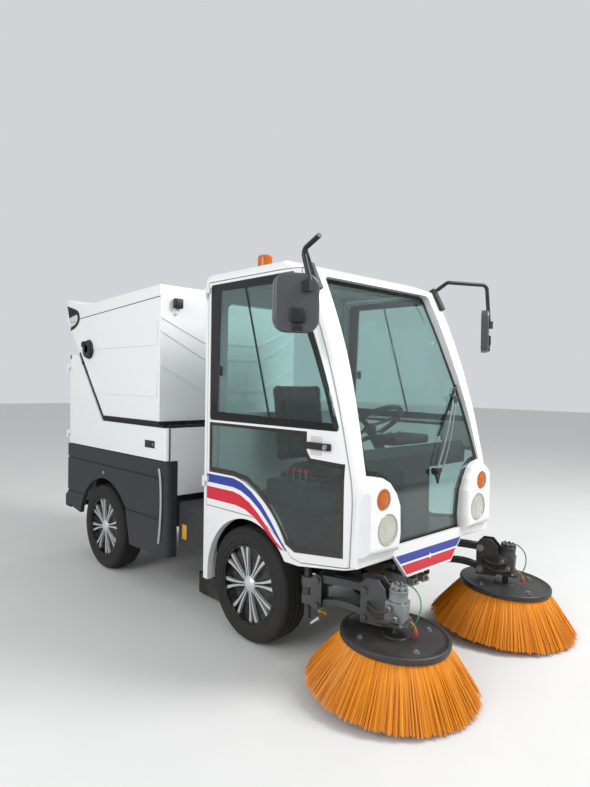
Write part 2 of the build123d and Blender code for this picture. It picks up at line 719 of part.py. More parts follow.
with BuildPart() as rear_axle:
    axle_foot = TYRE_RADIUS - 29.7
    pad_top = RAIL_LOW - 0.3
    with BuildSketch(Plane.XZ):
        with Locations((REAR_AXLE_X, TYRE_RADIUS)):
            Circle(29)
    extrude(amount=390, both=True)
    with BuildSketch(Plane.XZ):
        with Locations((REAR_AXLE_X, TYRE_RADIUS)):
            Circle(STUB_RADIUS)
    extrude(amount=WHEEL_Y + 44, both=True)
    for _, side in SIDES:
        with BuildSketch(side_plane(side * RAIL_Y)):
            with Locations((REAR_AXLE_X, (axle_foot + pad_top) / 2)):
                Rectangle(110, pad_top - axle_foot)
        extrude(amount=30, both=True)
write(rear_axle.part, "rear_axle")


def spoke_blade(lean):
    """One blade of a twin spoke, drawn outwards along x: thin at the dome, flaring towards the tyre."""
    root, tip = DOME_RADIUS - 4.0, SPOKE_REACH
    middle = (root + tip) / 2
    with BuildSketch() as flat:
        with BuildLine():
            ThreePointArc((root, lean * 3.0), (middle, lean * 6.0), (tip, lean * 15.0))
            Line((tip, lean * 15.0), (tip - 3.0, lean * 33.0))
            ThreePointArc((tip - 3.0, lean * 33.0), (middle, lean * 16.0), (root, lean * 10.0))
            Line((root, lean * 10.0), (root, lean * 3.0))
        make_face()
    return flat.sketch


# Tyres and rims, one pair of nodes for each wheel
dome_rise = DOME_TOP - DOME_RIM
dome_ball = (DOME_RADIUS**2 + dome_rise**2) / (2 * dome_rise)
dome_angle = atan2(DOME_RADIUS, dome_ball - dome_rise)
for row, axle_x in (("front", FRONT_AXLE_X), ("rear", REAR_AXLE_X)):
    for name, side in SIDES:
        centre = (axle_x, side * WHEEL_Y, TYRE_RADIUS)
        section = Plane(origin=centre, x_dir=(1, 0, 0), z_dir=(0, 0, side))
        spin = Axis(centre, (0, 1, 0))
        half = TYRE_WIDTH / 2
        with BuildPart() as tyre:
            with BuildSketch(section):
                with BuildLine():
                    Line((RIM_RADIUS, -half + 12), (RIM_RADIUS, half - 12))
                    Line((RIM_RADIUS, half - 12), (RIM_RADIUS + 12, half))
                    Line((RIM_RADIUS + 12, half), (TYRE_RADIUS - TYRE_SHOULDER, half - 4))
                    ThreePointArc((TYRE_RADIUS - TYRE_SHOULDER, half - 4),
                                  (TYRE_RADIUS - 9, half - 13), (TYRE_RADIUS, half - 34))
                    Line((TYRE_RADIUS, half - 34), (TYRE_RADIUS, -half + 34))
                    ThreePointArc((TYRE_RADIUS, -half + 34),
                                  (TYRE_RADIUS - 9, -half + 13), (TYRE_RADIUS - TYRE_SHOULDER, -half + 4))
                    Line((TYRE_RADIUS - TYRE_SHOULDER, -half + 4), (RIM_RADIUS + 12, -half))
                    Line((RIM_RADIUS + 12, -half), (RIM_RADIUS, -half + 12))
                make_face()
            revolve(axis=spin)
        write(tyre.part, f"tyre_{row}_{name}")
        with BuildPart() as rim:
            outer = RIM_RADIUS - RIM_SEAT_GAP
            with BuildSketch(section):
                bore, inner = STUB_RADIUS + HINGE_RUNNING, outer - RIM_WALL
                Polygon((outer, -half + 12), (outer, half - 8), (inner, half - 8), (inner, 50), (bore, 50),
                        (bore, 26), (HUB_RADIUS, 26), (HUB_RADIUS, 40), (inner, 40), (inner, -half + 12),
                        align=None)
            revolve(axis=spin)
            # cover with its domed middle and twin spokes
            face_plane = Plane(origin=centre, x_dir=(1, 0, 0), z_dir=(0, side, 0))
            with BuildSketch(face_plane.offset(49)):
                with PolarLocations(0, SPOKE_PAIRS, start_angle=SPOKE_START):
                    add(spoke_blade(1))
                    add(spoke_blade(-1))
            extrude(amount=SPOKE_DEPTH)
            with BuildSketch(section):
                with BuildLine():
                    dome_drop = dome_ball * (1 - cos(dome_angle / 2))
                    dome_middle = (dome_ball * sin(dome_angle / 2), DOME_TOP - dome_drop)
                    Polyline((0, 49), (DOME_RADIUS, 49), (DOME_RADIUS, DOME_RIM))
                    ThreePointArc((DOME_RADIUS, DOME_RIM), dome_middle, (0, DOME_TOP))
                    Line((0, DOME_TOP), (0, 49))
                make_face()
            revolve(axis=spin)
        write(rim.part, f"rim_{row}_{name}")

# Bulkhead behind the cab, with the ledge in front of the hopper and the opening for the suction duct
with BuildPart() as bulkhead:
    with BuildSketch(Plane.YZ.offset(BODY_FRONT - PANEL_THICK)):
        Polygon((-485, 640), (485, 640), (485, SKIRT_TOP + 4), (BULKHEAD_HALF, SKIRT_TOP + 4),
                (BULKHEAD_HALF, BODY_TOP), (-BULKHEAD_HALF, BODY_TOP), (-BULKHEAD_HALF, SKIRT_TOP + 4),
                (-485, SKIRT_TOP + 4), align=None)
    extrude(amount=PANEL_THICK)
    # ledge in front of the hopper
    with BuildSketch(Plane.XY.offset(BODY_TOP - 24)):
        with Locations(((HOPPER_FRONT + BODY_FRONT) / 2 - 6, 0)):
            Rectangle(BODY_FRONT - HOPPER_FRONT - 12, 2 * BULKHEAD_HALF)
    extrude(amount=24)
    with BuildSketch(Plane.XY.offset(DUCT_LOW[1])):
        with Locations((DUCT_LOW[0], 0)):
            Circle(DUCT_RADIUS + 6)
    with BuildSketch(Plane.XY.offset(DUCT_HIGH[1])):
        with Locations((DUCT_HIGH[0], 0)):
            Circle(DUCT_RADIUS + 6)
    loft(mode=Mode.SUBTRACT)
    # corners where the side frames stand behind and under it
    for _, side in SIDES:
        with BuildSketch(side_plane(side * FRAME_Y)):
            Polygon((-200, 0), (BODY_FRONT - PANEL_THICK, 0), (BODY_FRONT - PANEL_THICK, 2000), (-200, 2000),
                    align=None)
        extrude(amount=FRAME_THICK / 2 + JOINT_GAP, both=True, mode=Mode.SUBTRACT)
write(bulkhead.part, "bulkhead")

# Rear body: two side frames, the rear frame and the deck in one welded shell
with BuildPart() as rear_body:
    for _, side in SIDES:
        # front post, rails under the hopper's edge and mid rail
        with BuildSketch(side_plane(side * FRAME_Y)):
            Polygon((FRAME_FRONT, 430), (FRAME_FRONT, BODY_TOP), (BODY_BEND_X + 8, BODY_TOP),
                    (BODY_SLOPE_TOP[0] + 8, 1510), (BODY_REAR, 1510), (BODY_REAR, 400), (BODY_REAR + 35, 400),
                    (BODY_REAR + 35, 1480), (-1222, 1480), (BODY_BEND_X + 22, BODY_TOP - 34),
                    (-40, BODY_TOP - 34), (-40, 430), align=None)
            with Locations(((FRAME_FRONT + BODY_REAR) / 2, 847)):
                Rectangle(FRAME_FRONT - BODY_REAR, 26)
        extrude(amount=FRAME_THICK / 2, both=True)
    # rear frame round the engine door, and the deck above it
    with BuildSketch(Plane.YZ.offset(BODY_REAR)):
        with Locations((0, 955)):
            Rectangle(2 * 545, 1110)
        with Locations((0, ENGINE_DOOR_Z)):
            Rectangle(860, ENGINE_DOOR_HEIGHT - 80, mode=Mode.SUBTRACT)
    extrude(amount=30)
    with BuildSketch(Plane.XY.offset(DECK_Z - 20)):
        with Locations(((BODY_REAR - 1225) / 2, 0)):
            Rectangle(-1225 - BODY_REAR, 2 * 545)
    extrude(amount=20)
    # lugs and pins for the side covers and for the engine door
    for _, side in SIDES:
        for hinge_z in COVER_HINGE_Z:
            with BuildSketch(Plane.XY.offset(hinge_z - 28)):
                with Locations((COVER_HINGE_X, side * (BODY_HALF + 12))):
                    Circle(8)
                with Locations((COVER_HINGE_X - 1, side * 563)):
                    Rectangle(13, 50)
                with Locations((BODY_REAR - 8, side * 533)):
                    Rectangle(17, 20)
            extrude(amount=27.5)
            with BuildSketch(Plane.XY.offset(hinge_z - 10)):
                with Locations((COVER_HINGE_X, side * (BODY_HALF + 12))):
                    Circle(HINGE_PIN_RADIUS)
            extrude(amount=38)
    for hinge_z in REAR_HINGE_Z:
        with BuildSketch(Plane.XY.offset(hinge_z - 28)):
            with Locations(REAR_HINGE):
                Circle(8)
            with Locations(((REAR_HINGE[0] + BODY_REAR + 1) / 2, REAR_HINGE[1])):
                Rectangle(BODY_REAR + 1 - REAR_HINGE[0], 14)
        extrude(amount=27.5)
        with BuildSketch(Plane.XY.offset(hinge_z - 10)):
            with Locations(REAR_HINGE):
                Circle(HINGE_PIN_RADIUS)
        extrude(amount=38)
    # ears that the hopper tips on
    for _, side in SIDES:
        for ear_y in (395.0, 445.0):
            with BuildSketch(side_plane(side * ear_y)):
                with Locations(HOPPER_PIVOT):
                    Circle(19)
                with Locations((HOPPER_PIVOT[0], HOPPER_PIVOT[1] - 20)):
                    Rectangle(38, 40)
            extrude(amount=7, both=True)
        with BuildSketch(side_plane(side * 420)):
            with Locations(HOPPER_PIVOT):
                Circle(9)
        extrude(amount=32, both=True)
write(rear_body.part, "rear_body")

# Wheel housings: the shelf over each rear wheel, its inner wall, and cross plates that sit on the rails
HOUSING_REAR = BODY_REAR + 30.3
HOUSING_FRONT = BODY_FRONT - PANEL_THICK - 0.3
HOUSING_WALL_Y = 362.0
HOUSING_OUTER_Y = 514.7
HOUSING_SHELF_Z = 655.0
HOUSING_WALL_HEIGHT = 258.0
with BuildPart() as wheel_housings:
    housing_length = HOUSING_FRONT - HOUSING_REAR
    housing_x = (HOUSING_FRONT + HOUSING_REAR) / 2
    shelf_width = HOUSING_OUTER_Y - HOUSING_WALL_Y
    for _, side in SIDES:
        with BuildSketch(Plane.XY.offset(HOUSING_SHELF_Z)):
            with Locations((housing_x, side * (HOUSING_WALL_Y + shelf_width / 2))):
                Rectangle(housing_length, shelf_width)
            with Locations(((BODY_REAR + 35.3 - 40.3) / 2, side * (FRAME_Y - 0.5))):
                Rectangle(-40.3 - BODY_REAR - 35.3, FRAME_THICK + 1)
        extrude(amount=14)
        with BuildSketch(side_plane(side * HOUSING_WALL_Y)):
            with Locations((housing_x, HOUSING_SHELF_Z + 14 - HOUSING_WALL_HEIGHT / 2)):
                Rectangle(housing_length, HOUSING_WALL_HEIGHT)
        extrude(amount=7, both=True)
    for plate_x in (-85.0, -560.0, BODY_REAR + 85.0):
        with BuildSketch(Plane.XY.offset(RAIL_HIGH + 0.3)):
            with Locations((plate_x, 0)):
                Rectangle(90, 2 * HOUSING_WALL_Y)
        extrude(amount=12)
write(wheel_housings.part, "wheel_housings")

# Side covers of the rear body, hinged at their rear edge
for name, side in SIDES:
    with BuildPart() as cover:
        with BuildSketch(Plane.XY.offset(SKIRT_TOP + SKIRT_GAP)):
            with BuildLine():
                Line((BODY_REAR + 2, side * BODY_HALF), (BODY_FRONT - COVER_CORNER, side * BODY_HALF))
                ThreePointArc((BODY_FRONT - COVER_CORNER, side * BODY_HALF),
                              (BODY_FRONT - COVER_CORNER * 0.293, side * (BODY_HALF - COVER_CORNER * 0.293)),
                              (BODY_FRONT, side * (BODY_HALF - COVER_CORNER)))
                Polyline((BODY_FRONT, side * (BODY_HALF - COVER_CORNER)), (BODY_FRONT, side * COVER_INNER_Y),
                         (BODY_REAR + 2, side * COVER_INNER_Y), (BODY_REAR + 2, side * BODY_HALF))
            make_face()
        extrude(amount=BODY_REAR_TOP - SKIRT_TOP - SKIRT_GAP)
        with BuildSketch(Plane.XZ):
            Polygon((100, BODY_TOP), (BODY_BEND_X, BODY_TOP), BODY_SLOPE_TOP, (-1240, BODY_REAR_TOP),
                    (-1240, 1700), (100, 1700), align=None)
        extrude(amount=700, both=True, mode=Mode.SUBTRACT)
        hinge_y = side * (BODY_HALF + 12)
        for hinge_z in COVER_HINGE_Z:
            with BuildSketch(Plane.XY.offset(hinge_z)):
                with Locations((COVER_HINGE_X, hinge_y)):
                    Circle(8)
                with Locations((COVER_HINGE_X + 15, side * (BODY_HALF + 8))):
                    Rectangle(30, 8)
                with Locations((COVER_HINGE_X + 26, side * (BODY_HALF + 3))):
                    Rectangle(14, 14)
                with Locations((COVER_HINGE_X, hinge_y)):
                    Circle(HINGE_PIN_RADIUS + HINGE_RUNNING, mode=Mode.SUBTRACT)
            extrude(amount=26)
        # recessed latch
        with BuildSketch(side_plane(side * (BODY_HALF - 6))):
            with Locations((-158, 948)):
                RectangleRounded(122, 47, 8)
        extrude(amount=-side * 20, mode=Mode.SUBTRACT)
    write(cover.part, f"side_cover_{name}")

# Dark lower skirts, wrapped round the front corners, with the rear wheel arches
SKIRT_INNER_Y = 545.5
SKIRT_REAR = -1392.0
SKIRT_GROOVES = (749.0, 492.0)
with BuildPart() as side_skirts:
    for _, side in SIDES:
        with BuildSketch(Plane.XY.offset(200)):
            with BuildLine():
                Line((SKIRT_REAR, side * BODY_HALF), (BODY_FRONT - BODY_CORNER, side * BODY_HALF))
                ThreePointArc((BODY_FRONT - BODY_CORNER, side * BODY_HALF),
                              (BODY_FRONT - BODY_CORNER * 0.293, side * (BODY_HALF - BODY_CORNER * 0.293)),
                              (BODY_FRONT, side * (BODY_HALF - BODY_CORNER)))
                Polyline((BODY_FRONT, side * (BODY_HALF - BODY_CORNER)), (BODY_FRONT, side * 489),
                         (BODY_FRONT - 22, side * 489), (BODY_FRONT - 22, side * SKIRT_INNER_Y),
                         (SKIRT_REAR, side * SKIRT_INNER_Y), (SKIRT_REAR, side * BODY_HALF))
            make_face()
        extrude(amount=SKIRT_TOP - 200)
        for groove_z in SKIRT_GROOVES:
            with BuildSketch(side_plane(side * (BODY_HALF - 7))):
                with Locations((-680, groove_z)):
                    Rectangle(1700, 14)
            extrude(amount=-side * 20, mode=Mode.SUBTRACT)
    with BuildSketch(Plane.XZ):
        with BuildLine():
            Polyline((200, 0), (200, SKIRT_BOTTOM), (-404, SKIRT_BOTTOM), (-471, 494))
            ThreePointArc((-471, 494), (-831, 648), (-1165, 345))
            Polyline((-1165, 345), (-1500, 396), (-1500, 0), (200, 0))
        make_face()
    extrude(amount=700, both=True, mode=Mode.SUBTRACT)
write(side_skirts.part, "side_skirts")

with BuildPart() as engine_door:
    with BuildSketch(Plane.YZ.offset(BODY_REAR - 28)):
        with Locations((0, ENGINE_DOOR_Z)):
            RectangleRounded(960, ENGINE_DOOR_HEIGHT, 30)
    extrude(amount=24)
    with BuildSketch(Plane.YZ.offset(BODY_REAR - 40)):
        with GridLocations(0, 46, 1, 10):
            with Locations((0, ENGINE_DOOR_Z)):
                Rectangle(720, 20)
    extrude(amount=60, mode=Mode.SUBTRACT)
    for hinge_z in REAR_HINGE_Z:
        with BuildSketch(Plane.XY.offset(hinge_z)):
            with Locations(REAR_HINGE):
                Circle(8)
            with Locations((REAR_HINGE[0] + 3, REAR_HINGE[1] - 14)):
                Rectangle(7, 26)
            with Locations(REAR_HINGE):
                Circle(HINGE_PIN_RADIUS + HINGE_RUNNING, mode=Mode.SUBTRACT)
        extrude(amount=26)
write(engine_door.part, "engine_door")

with BuildPart() as rear_bumper:
    with BuildSketch(Plane.YZ.offset(BODY_REAR - 0.3)):
        with Locations((0, 545)):
            Rectangle(1080, 270)
    extrude(amount=-26)
    with BuildSketch(Plane.YZ.offset(BODY_REAR - 29)):
        with Locations((0, 400)):
            RectangleRounded(1130, 110, 20)
    extrude(amount=-63)
    with BuildSketch(Plane.YZ.offset(BODY_REAR - 30)):
        with Locations((0, 400)):
            Rectangle(600, 60)
    extrude(amount=30)
write(rear_bumper.part, "rear_bumper")

with BuildPart() as tail_lamps:
    for _, side in SIDES:
        with BuildSketch(Plane.YZ.offset(BODY_REAR - 26.6)):
            with Locations((side * 470, 590)):
                RectangleRounded(90, 130, 14)
        extrude(amount=-22)
write(tail_lamps.part, "tail_lamps")

with BuildPart() as engine_block:
    with BuildSketch(Plane.XY.offset(RAIL_HIGH + 0.3)):
        with Locations((-700, 0)):
            Rectangle(190, 480)
    extrude(amount=60)
    with BuildSketch(Plane.XY.offset(RAIL_HIGH + 20)):
        with Locations((-640, 0)):
            Rectangle(560, 440)
    extrude(amount=480)
    fillet(engine_block.edges().filter_by(Axis.Z).sort_by(Axis.X)[:2], 30)
write(engine_block.part, "engine_block")

# Tanks on the rails in the gap behind the cab
with BuildPart() as side_tanks:
    for _, side in SIDES:
        with BuildSketch(Plane.XY.offset(344)):
            with Locations((215, side * 395)):
                RectangleRounded(300, 230, 30)
        extrude(amount=264)
        with BuildSketch(Plane.XY.offset(345)):
            with Locations((215, side * 255)):
                Rectangle(160, 59.4)
        extrude(amount=50)
write(side_tanks.part, "side_tanks")

# Suction mouth on its rollers between the axles, with the duct up to the hopper's floor
with BuildPart() as suction_mouth:
    with BuildSketch(Plane.XY.offset(22)):
        with Locations((215, 0)):
            RectangleRounded(330, 700, 40)
    extrude(amount=120)
    with BuildSketch(Plane.XY.offset(22)):
        with Locations((215, 0)):
            RectangleRounded(300, 670, 25)
    extrude(amount=100, mode=Mode.SUBTRACT)
    for radius, mode in ((DUCT_RADIUS, Mode.ADD), (DUCT_RADIUS - 8, Mode.SUBTRACT)):
        with BuildSketch(Plane.XY.offset(DUCT_LOW[1])):
            with Locations((DUCT_LOW[0], 0)):
                Circle(radius)
        with BuildSketch(Plane.XY.offset(DUCT_HIGH[1])):
            with Locations((DUCT_HIGH[0], 0)):
                Circle(radius)
        loft(mode=mode)
    with BuildSketch(Plane.XY.offset(100)):
        with Locations((DUCT_LOW[0], 0)):
            Circle(DUCT_RADIUS - 8)
    extrude(amount=DUCT_LOW[1] - 100, mode=Mode.SUBTRACT)
    # hangers from the rails
    with BuildSketch(Plane.XY.offset(140)):
        with Locations(*[(hanger_x, hanger_y) for hanger_x in (110, 320) for hanger_y in (-RAIL_Y, RAIL_Y)]):
            Rectangle(40, 14)
    extrude(amount=RAIL_LOW - 140.3)
write(suction_mouth.part, "suction_mouth")

# Hopper
with BuildPart() as hopper:
    hopper_side = ((HOPPER_FRONT, HOPPER_FLOOR), (HOPPER_FRONT, 1870.7), (-1238, 1804.7), (-1252, 1778),
                   TAIL_LOW, HOPPER_REAR_FOOT, (BODY_BEND_X, HOPPER_FLOOR))
    with BuildSketch(Plane.XZ):
        Polygon(*hopper_side, align=None)
    extrude(amount=HOPPER_HALF, both=True)
    with BuildSketch(Plane.XZ):
        Polygon((HOPPER_FRONT - HOPPER_WALL, HOPPER_FLOOR + HOPPER_WALL), (HOPPER_FRONT - HOPPER_WALL, 1900),
                (-1420, 1900), (-1420, 1540), (-1213.5, 1540), (-1216, 1592), (-1204, 1600), (-1192, 1560),
                (BODY_BEND_X + 10, HOPPER_FLOOR + HOPPER_WALL), align=None)
    extrude(amount=HOPPER_HALF - HOPPER_WALL, both=True, mode=Mode.SUBTRACT)
    # pressed bands along the sides
    for low, high, rear_low, rear_high in ((1250, 1400, -930, -1056), (1570, 1720, -1210, -1320)):
        for _, side in SIDES:
            with BuildSketch(side_plane(side * (HOPPER_HALF - 1))):
                Polygon((HOPPER_FRONT - 30, low), (HOPPER_FRONT - 30, high),
                        (rear_high, high), (rear_low, low), align=None)
            extrude(amount=-side * 6)
    # chevron ribs pressed into the front, and the round clean-out cap on the right-hand side
    for outer_z, inner_z in CHEVRONS:
        half_rib = ((560.0, outer_z), (240.0, inner_z), (-240.0, inner_z), (-560.0, outer_z))
        with BuildSketch(Plane.YZ.offset(HOPPER_FRONT - 1)):
            Polygon(*half_rib, *[(y, z - CHEVRON_WIDTH) for y, z in reversed(half_rib)], align=None)
        extrude(amount=6)
    with BuildSketch(side_plane(-HOPPER_HALF + 1)):
        with Locations(CAP_CENTRE):
            Circle(CAP_RADIUS + 8)
    extrude(amount=7)
    with BuildSketch(side_plane(-HOPPER_HALF - 6)):
        with Locations(CAP_CENTRE):
            Circle(CAP_RADIUS)
        with Locations((CAP_CENTRE[0] - 42, CAP_CENTRE[1] + 36)):
            Circle(22)
    extrude(amount=22)
    # suction inlet in the floor
    with BuildSketch(Plane.XY.offset(HOPPER_FLOOR - 5)):
        with Locations((DUCT_HIGH[0], 0)):
            Circle(DUCT_RADIUS - 8)
    extrude(amount=HOPPER_WALL + 10, mode=Mode.SUBTRACT)
    # ears on the pivot pins and cheeks for the cylinders
    for _, side in SIDES:
        with BuildSketch(side_plane(side * 420)):
            with BuildLine():
                Polyline((-1200, 1590), (-1200, 1548), (-1290, 1519))
                ThreePointArc((-1290, 1519), (-1306, 1535), (-1290, 1551))
                Polyline((-1290, 1551), (-1222, 1590), (-1200, 1590))
            make_face()
            with Locations(HOPPER_PIVOT):
                Circle(9.05, mode=Mode.SUBTRACT)
        extrude(amount=15, both=True)
        for cheek in (-27.0, 27.0):
            with BuildSketch(side_plane(side * LIFT_Y + cheek)):
                with Locations(LIFT_EYE):
                    Circle(30)
                with Locations(Location((LIFT_EYE[0] + 23, LIFT_EYE[1] + 19, 0), (0, 0, 40))):
                    Rectangle(66, 60)
            extrude(amount=4, both=True)
write(hopper.part, "hopper")

with BuildPart() as hopper_lid:
    with BuildSketch(Plane.XZ):
        Polygon((HOPPER_FRONT, 1871), (-62, LID_FRONT_TOP), (-1090, 1904), (-1280, 1924), (-1429, 1966),
                (-1436, 1948), (-1440, 1802), (-1364, 1722), (TAIL_LOW[0], TAIL_LOW[1] + 0.4),
                (-1252, 1778.4), (-1238, 1805), align=None)
    extrude(amount=HOPPER_HALF, both=True)
    # between its two cheeks the tail is only the upturned wing
    with BuildSketch(Plane.XZ):
        Polygon((-1238, 1700), (-1238, 1805), (-1260, 1906), (-1424, 1948), (-1500, 1948), (-1500, 1700),
                align=None)
    extrude(amount=HOPPER_HALF - HOPPER_WALL, both=True, mode=Mode.SUBTRACT)
    with BuildSketch(Plane.XZ):
        Polygon((-80, 1850), (-80, 1925), (-1085, 1886), (-1226, 1886), (-1226, 1790), align=None)
    extrude(amount=HOPPER_HALF - HOPPER_WALL, both=True, mode=Mode.SUBTRACT)
    # lugs under the tail with the hatch's hinge pins
    for _, side in SIDES:
        for lug_y in (260.0, 330.0):
            with BuildSketch(side_plane(side * lug_y)):
                with Locations(HATCH_HINGE):
                    Circle(11)
                with Locations((HATCH_HINGE[0], HATCH_HINGE[1] + 27)):
                    Rectangle(22, 54)
            extrude(amount=8, both=True)
        with BuildSketch(side_plane(side * 295)):
            with Locations(HATCH_HINGE):
                Circle(6)
        extrude(amount=40, both=True)
write(hopper_lid.part, "hopper_lid")

with BuildPart() as hopper_hatch:
    with BuildSketch(Plane.XZ):
        Polygon((-1223, 1600), (-1259, 1722), (-1246, 1796), (-1262, 1878), (-1376, 1878), (-1400, 1868),
                (-1344, 1721), (-1262, 1600), align=None)
    extrude(amount=HOPPER_HALF - HOPPER_WALL - HATCH_GAP, both=True)
    with BuildSketch(Plane.XZ):
        Polygon((-1200, 1640), (-1200, 1860), (-1370, 1860), (-1322, 1722), (-1275, 1640), align=None)
    extrude(amount=HOPPER_HALF - HOPPER_WALL - HATCH_GAP - 24, both=True, mode=Mode.SUBTRACT)
    for _, side in SIDES:
        with BuildSketch(side_plane(side * 295)):
            with Locations(HATCH_HINGE):
                Circle(11)
            with Locations((HATCH_HINGE[0] + 6, HATCH_HINGE[1] - 16)):
                Rectangle(18, 26)
            with Locations(HATCH_HINGE):
                Circle(6.05, mode=Mode.SUBTRACT)
        extrude(amount=26, both=True)
write(hopper_hatch.part, "hopper_hatch")

# Lift cylinders, closed at rest
lift_run = Vector(LIFT_EYE[0] - LIFT_FOOT[0], 0, LIFT_EYE[1] - LIFT_FOOT[1])
LIFT_CLOSED = lift_run.length
lift_dir = lift_run.normalized()
BARREL_LENGTH = 660.0
with BuildPart() as lift_barrels:
    for _, side in SIDES:
        foot_point = Vector(LIFT_FOOT[0], side * LIFT_Y, LIFT_FOOT[1])
        axis_plane = Plane(origin=foot_point, x_dir=(0, 1, 0), z_dir=lift_dir)
        with BuildSketch(axis_plane.offset(26)):
            Circle(33)
        extrude(amount=BARREL_LENGTH - 26)
        with BuildSketch(side_plane(side * LIFT_Y)):
            with Locations(LIFT_FOOT):
                Circle(24)
            with Locations(LIFT_FOOT):
                Circle(11.05, mode=Mode.SUBTRACT)
        extrude(amount=18, both=True)
        with BuildSketch(axis_plane.offset(18)):
            Rectangle(34, 44)
        extrude(amount=12)
        with BuildSketch(axis_plane.offset(60)):
            Circle(18.3)
        extrude(amount=BARREL_LENGTH, mode=Mode.SUBTRACT)
write(lift_barrels.part, "lift_barrels")

with BuildPart() as lift_rods:
    for _, side in SIDES:
        foot_point = Vector(LIFT_FOOT[0], side * LIFT_Y, LIFT_FOOT[1])
        axis_plane = Plane(origin=foot_point, x_dir=(0, 1, 0), z_dir=lift_dir)
        with BuildSketch(axis_plane.offset(75)):
            Circle(18)
        extrude(amount=LIFT_CLOSED - 75 - 15)
        with BuildSketch(side_plane(side * LIFT_Y)):
            with Locations(LIFT_EYE):
                Circle(22)
        extrude(amount=20, both=True)
write(lift_rods.part, "lift_rods")

